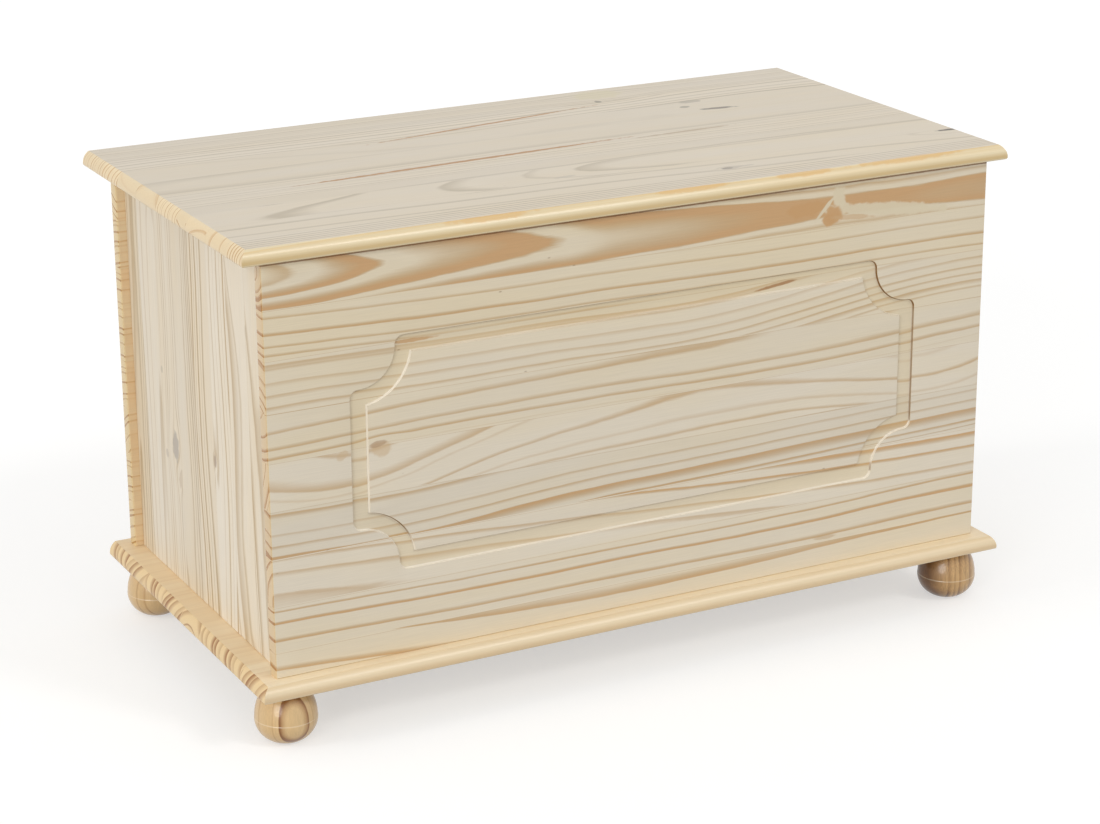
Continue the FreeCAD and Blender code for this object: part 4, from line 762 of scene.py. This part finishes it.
def panel(name, node, material, outward, grooved):
    p, g = panelShape, grooveShape
    low, high = boxMm(node)
    middle = (low + high) / 2
    halfWidth, thick, halfHeight = (high - low) / 2 * (1, 2, 1)
    turn = np.linspace(0, math.pi / 2, p["arrisSteps"])
    ease, sink = p["arris"] * (1 - np.sin(turn)), p["arris"] * (1 - np.cos(turn))
    back = plainRing(halfWidth - p["arris"], halfHeight - p["arris"])
    skin = [(back * share, thick) for share in (0, 0.25, 0.5, 0.75, 1)]
    edges = zip(np.concatenate([ease, ease[::-1]]), np.concatenate([thick - sink, sink[::-1]]))
    skin += [(plainRing(halfWidth - inset, halfHeight - inset), deep) for inset, deep in edges]
    rim = skin[-1][0]
    if grooved:  # a rounded lip, a wall and a hollow lead down to the floor, and the same back up to the field
        turn = np.linspace(0, math.pi / 2, g["roundSteps"])
        wallOff = np.concatenate([g["lip"] * (1 - np.sin(turn)), -g["lean"] - g["hollow"] * (1 - np.cos(turn))])
        wallDeep = np.concatenate([g["lip"] * (1 - np.cos(turn)), g["depth"] - g["hollow"] * (1 - np.sin(turn))])
        offsets = np.concatenate([g["cutter"] + wallOff, -g["cutter"] - wallOff[::-1]])
        deeps = np.concatenate([wallDeep, wallDeep[::-1]])
        outer = grooveRing(offsets[0])
        skin += [(rim + (outer - rim) * share, 0.0) for share in np.linspace(0, 1, p["faceRings"])[1:-1]]
        skin += [(grooveRing(offset), deep) for offset, deep in zip(offsets, deeps)]
        rim = skin[-1][0]
    skin += [(rim * share, 0.0) for share in (0.75, 0.5, 0.25, 0.0)]
    rows, depths = (np.array(part) for part in zip(*skin))
    face = low[1] if outward < 0 else high[1]
    y = face - outward * depths[:, None] + 0 * rows[:, 0]
    points = np.stack([middle[0] + rows[:, 0], y, middle[2] + rows[:, 1]], -1)
    makePiece(name, [(points, gridQuads(*y.shape, wrap=True))], node, "carcass", material)


panel("frontPanel", "front_panel", woods["front"], -1, True)
panel("backPanel", "back_panel", woods["back"], 1, False)
print("panels ready")


# Foot: a half section (radius, height) turned about the foot's upright axis. Two arcs run upright where they meet
# the scored line, the lower one from the flat, the upper one to the base board. The line is a small rounded step.
def footSection():
    f = footShape
    parts = [np.array([[0.0, 0.0], [f["flat"] * 0.6, 0.0]])]
    for upright, far, level, end in ((f["lower"], f["flat"], f["score"] - f["scoreHalf"], 0.0),
                                     (f["upper"], f["top"], f["score"] + f["scoreHalf"], f["height"])):
        run, rise = upright - far, end - level
        bend = (run ** 2 + rise ** 2) / (2 * run)
        sweep = np.linspace(math.asin(rise / bend), 0, f["arcSteps"])
        arc = np.stack([upright - bend + bend * np.cos(sweep), level + bend * np.sin(sweep)], -1)
        parts.append(arc if end == 0.0 else arc[::-1])
    step = np.linspace(-1, 1, f["scoreSteps"])[1:-1]  # half a wave of a sine leads from the lower to the upper radius
    brink = (f["lower"] + f["upper"]) / 2 - (f["lower"] - f["upper"]) / 2 * np.sin(math.pi / 2 * step)
    parts.insert(2, np.stack([brink, f["score"] + f["scoreHalf"] * step], -1))
    parts.append(np.array([[f["top"] * 0.5, f["height"]], [0.0, f["height"]]]))
    return np.concatenate(parts)


radius, height = np.split(footSection(), 2, axis=1)
angle = np.linspace(0, tau, footShape["around"], endpoint=False)
for node in footLooks:
    low, high = boxMm(node)
    middle = (low + high) / 2
    points = np.stack([middle[0] + radius * np.cos(angle), middle[1] + radius * np.sin(angle), height + 0 * angle], -1)
    name = "foot" + "".join(word.title() for word in node.split("_")[1:])
    makePiece(name, [(points, gridQuads(*points.shape[:2], wrap=True))], node, "carcass", woods[node])
print("feet ready")

# The CAD pieces that stay as they are
kept = {"left_side_panel": "left", "right_side_panel": "right",
        "left_batten": "leftBatten", "right_batten": "rightBatten"}
for part in frame["record"]["subparts"]:
    node, slotName = part["node"], part["material_slot"]
    skin = woods[kept[node]] if node in kept else finishes.get(slotName)
    if skin:
        materials = frame["nodes"][node].data.materials
        materials.clear()
        materials.append(skin)
print("fittings dressed")

# Studio: a pale floor, an even sky, a broad soft sun from the front left, and two weak narrow ones that draw the
# highlights on the noses and the feet, together at a level where colours render about as written.
studio = {"sky": 0.66, "floorSeen": "#CBCBCA", "floorBounce": "#C4C2BE", "floorLift": 0.5, "floorHalf": 14.0,
          "suns": {"keySun": (0.95, (-0.766, -0.6, 0.231), 30.0),  # strength, where from, width in degrees
                   "sideSun": (0.38, (-0.816, 0.07, 0.562), 12.0),
                   "rimSun": (0.5, (0.41, -0.645, 0.645), 12.0)}}


def seenRays(add):  # one for a ray that shows the stage: straight to the camera, or by gloss or glass
    path = add("LightPath")
    seen = add("Math", [path.outputs["Is Camera Ray"], path.outputs["Is Glossy Ray"]], "MAXIMUM")
    return add("Math", [seen, path.outputs["Is Transmission Ray"]], "MAXIMUM")


def studioStage():
    s = studio
    scene.world = bpy.data.worlds.new("studioSky")
    add = blank(scene.world)
    level = add("MapRange", [seenRays(add), 0.0, 1.0, s["sky"], 1.0])
    sky = add("Background", {"Color": (1, 1, 1, 1), "Strength": level})
    add("OutputWorld", [sky])

    for name, (strength, comesFrom, width) in s["suns"].items():
        lamp = bpy.data.lights.new(name, "SUN")
        lamp.energy = strength
        lamp.angle = math.radians(width)
        sun = bpy.data.objects.new(name, lamp)
        sun.rotation_euler = Vector(comesFrom).to_track_quat("Z", "Y").to_euler()
        scene.collection.objects.link(sun)

    material = bpy.data.materials.new("painted_studio_floor")
    add = blank(material)
    shown = seenRays(add)
    colour = add("MixRGB", [shown, hexColour(s["floorBounce"]), hexColour(s["floorSeen"])])
    matt = add("BsdfDiffuse", {"Color": colour})
    lift = add("Math", [shown, s["floorLift"]], "MULTIPLY")
    glow = add("Emission", {"Color": (1, 1, 1, 1), "Strength": lift})
    both = add("AddShader", [matt, glow])
    add("OutputMaterial", [both])
    half = s["floorHalf"]
    mesh = bpy.data.meshes.new("studioFloor")
    mesh.from_pydata([(-half, -half, 0), (half, -half, 0), (half, half, 0), (-half, half, 0)], [], [(0, 1, 2, 3)])
    mesh.materials.append(material)
    floor = bpy.data.objects.new("studioFloor", mesh)
    scene.collection.objects.link(floor)


studioStage()

# Camera fitted to the chest's corners in the photograph, 1100 x 824
shot = {"at": (-1.30432, -2.51037, 1.17736), "azimuth": -27.46, "elevation": 18.87, "roll": -0.37,  # metres, degrees
        "lens": 94.17, "sensor": 36.0}  # mm


def aimCamera():
    a, e, r = (math.radians(shot[key]) for key in ("azimuth", "elevation", "roll"))
    back = Vector((math.sin(a) * math.cos(e), -math.cos(a) * math.cos(e), math.sin(e)))
    right = Vector((0, 0, 1)).cross(back).normalized()
    up = back.cross(right)
    turnedRight = right * math.cos(r) + up * math.sin(r)
    turnedUp = up * math.cos(r) - right * math.sin(r)
    lens = bpy.data.cameras.new("photoCamera")
    lens.lens = shot["lens"]
    lens.sensor_width = shot["sensor"]
    lens.sensor_fit = "HORIZONTAL"
    camera = bpy.data.objects.new("photoCamera", lens)
    camera.matrix_world = Matrix.Translation(shot["at"]) @ Matrix((turnedRight, turnedUp, back)).transposed().to_4x4()
    scene.collection.objects.link(camera)
    bpy.context.scene.camera = camera


aimCamera()
scene.view_settings.view_transform = "Standard"
print("studio and camera ready")
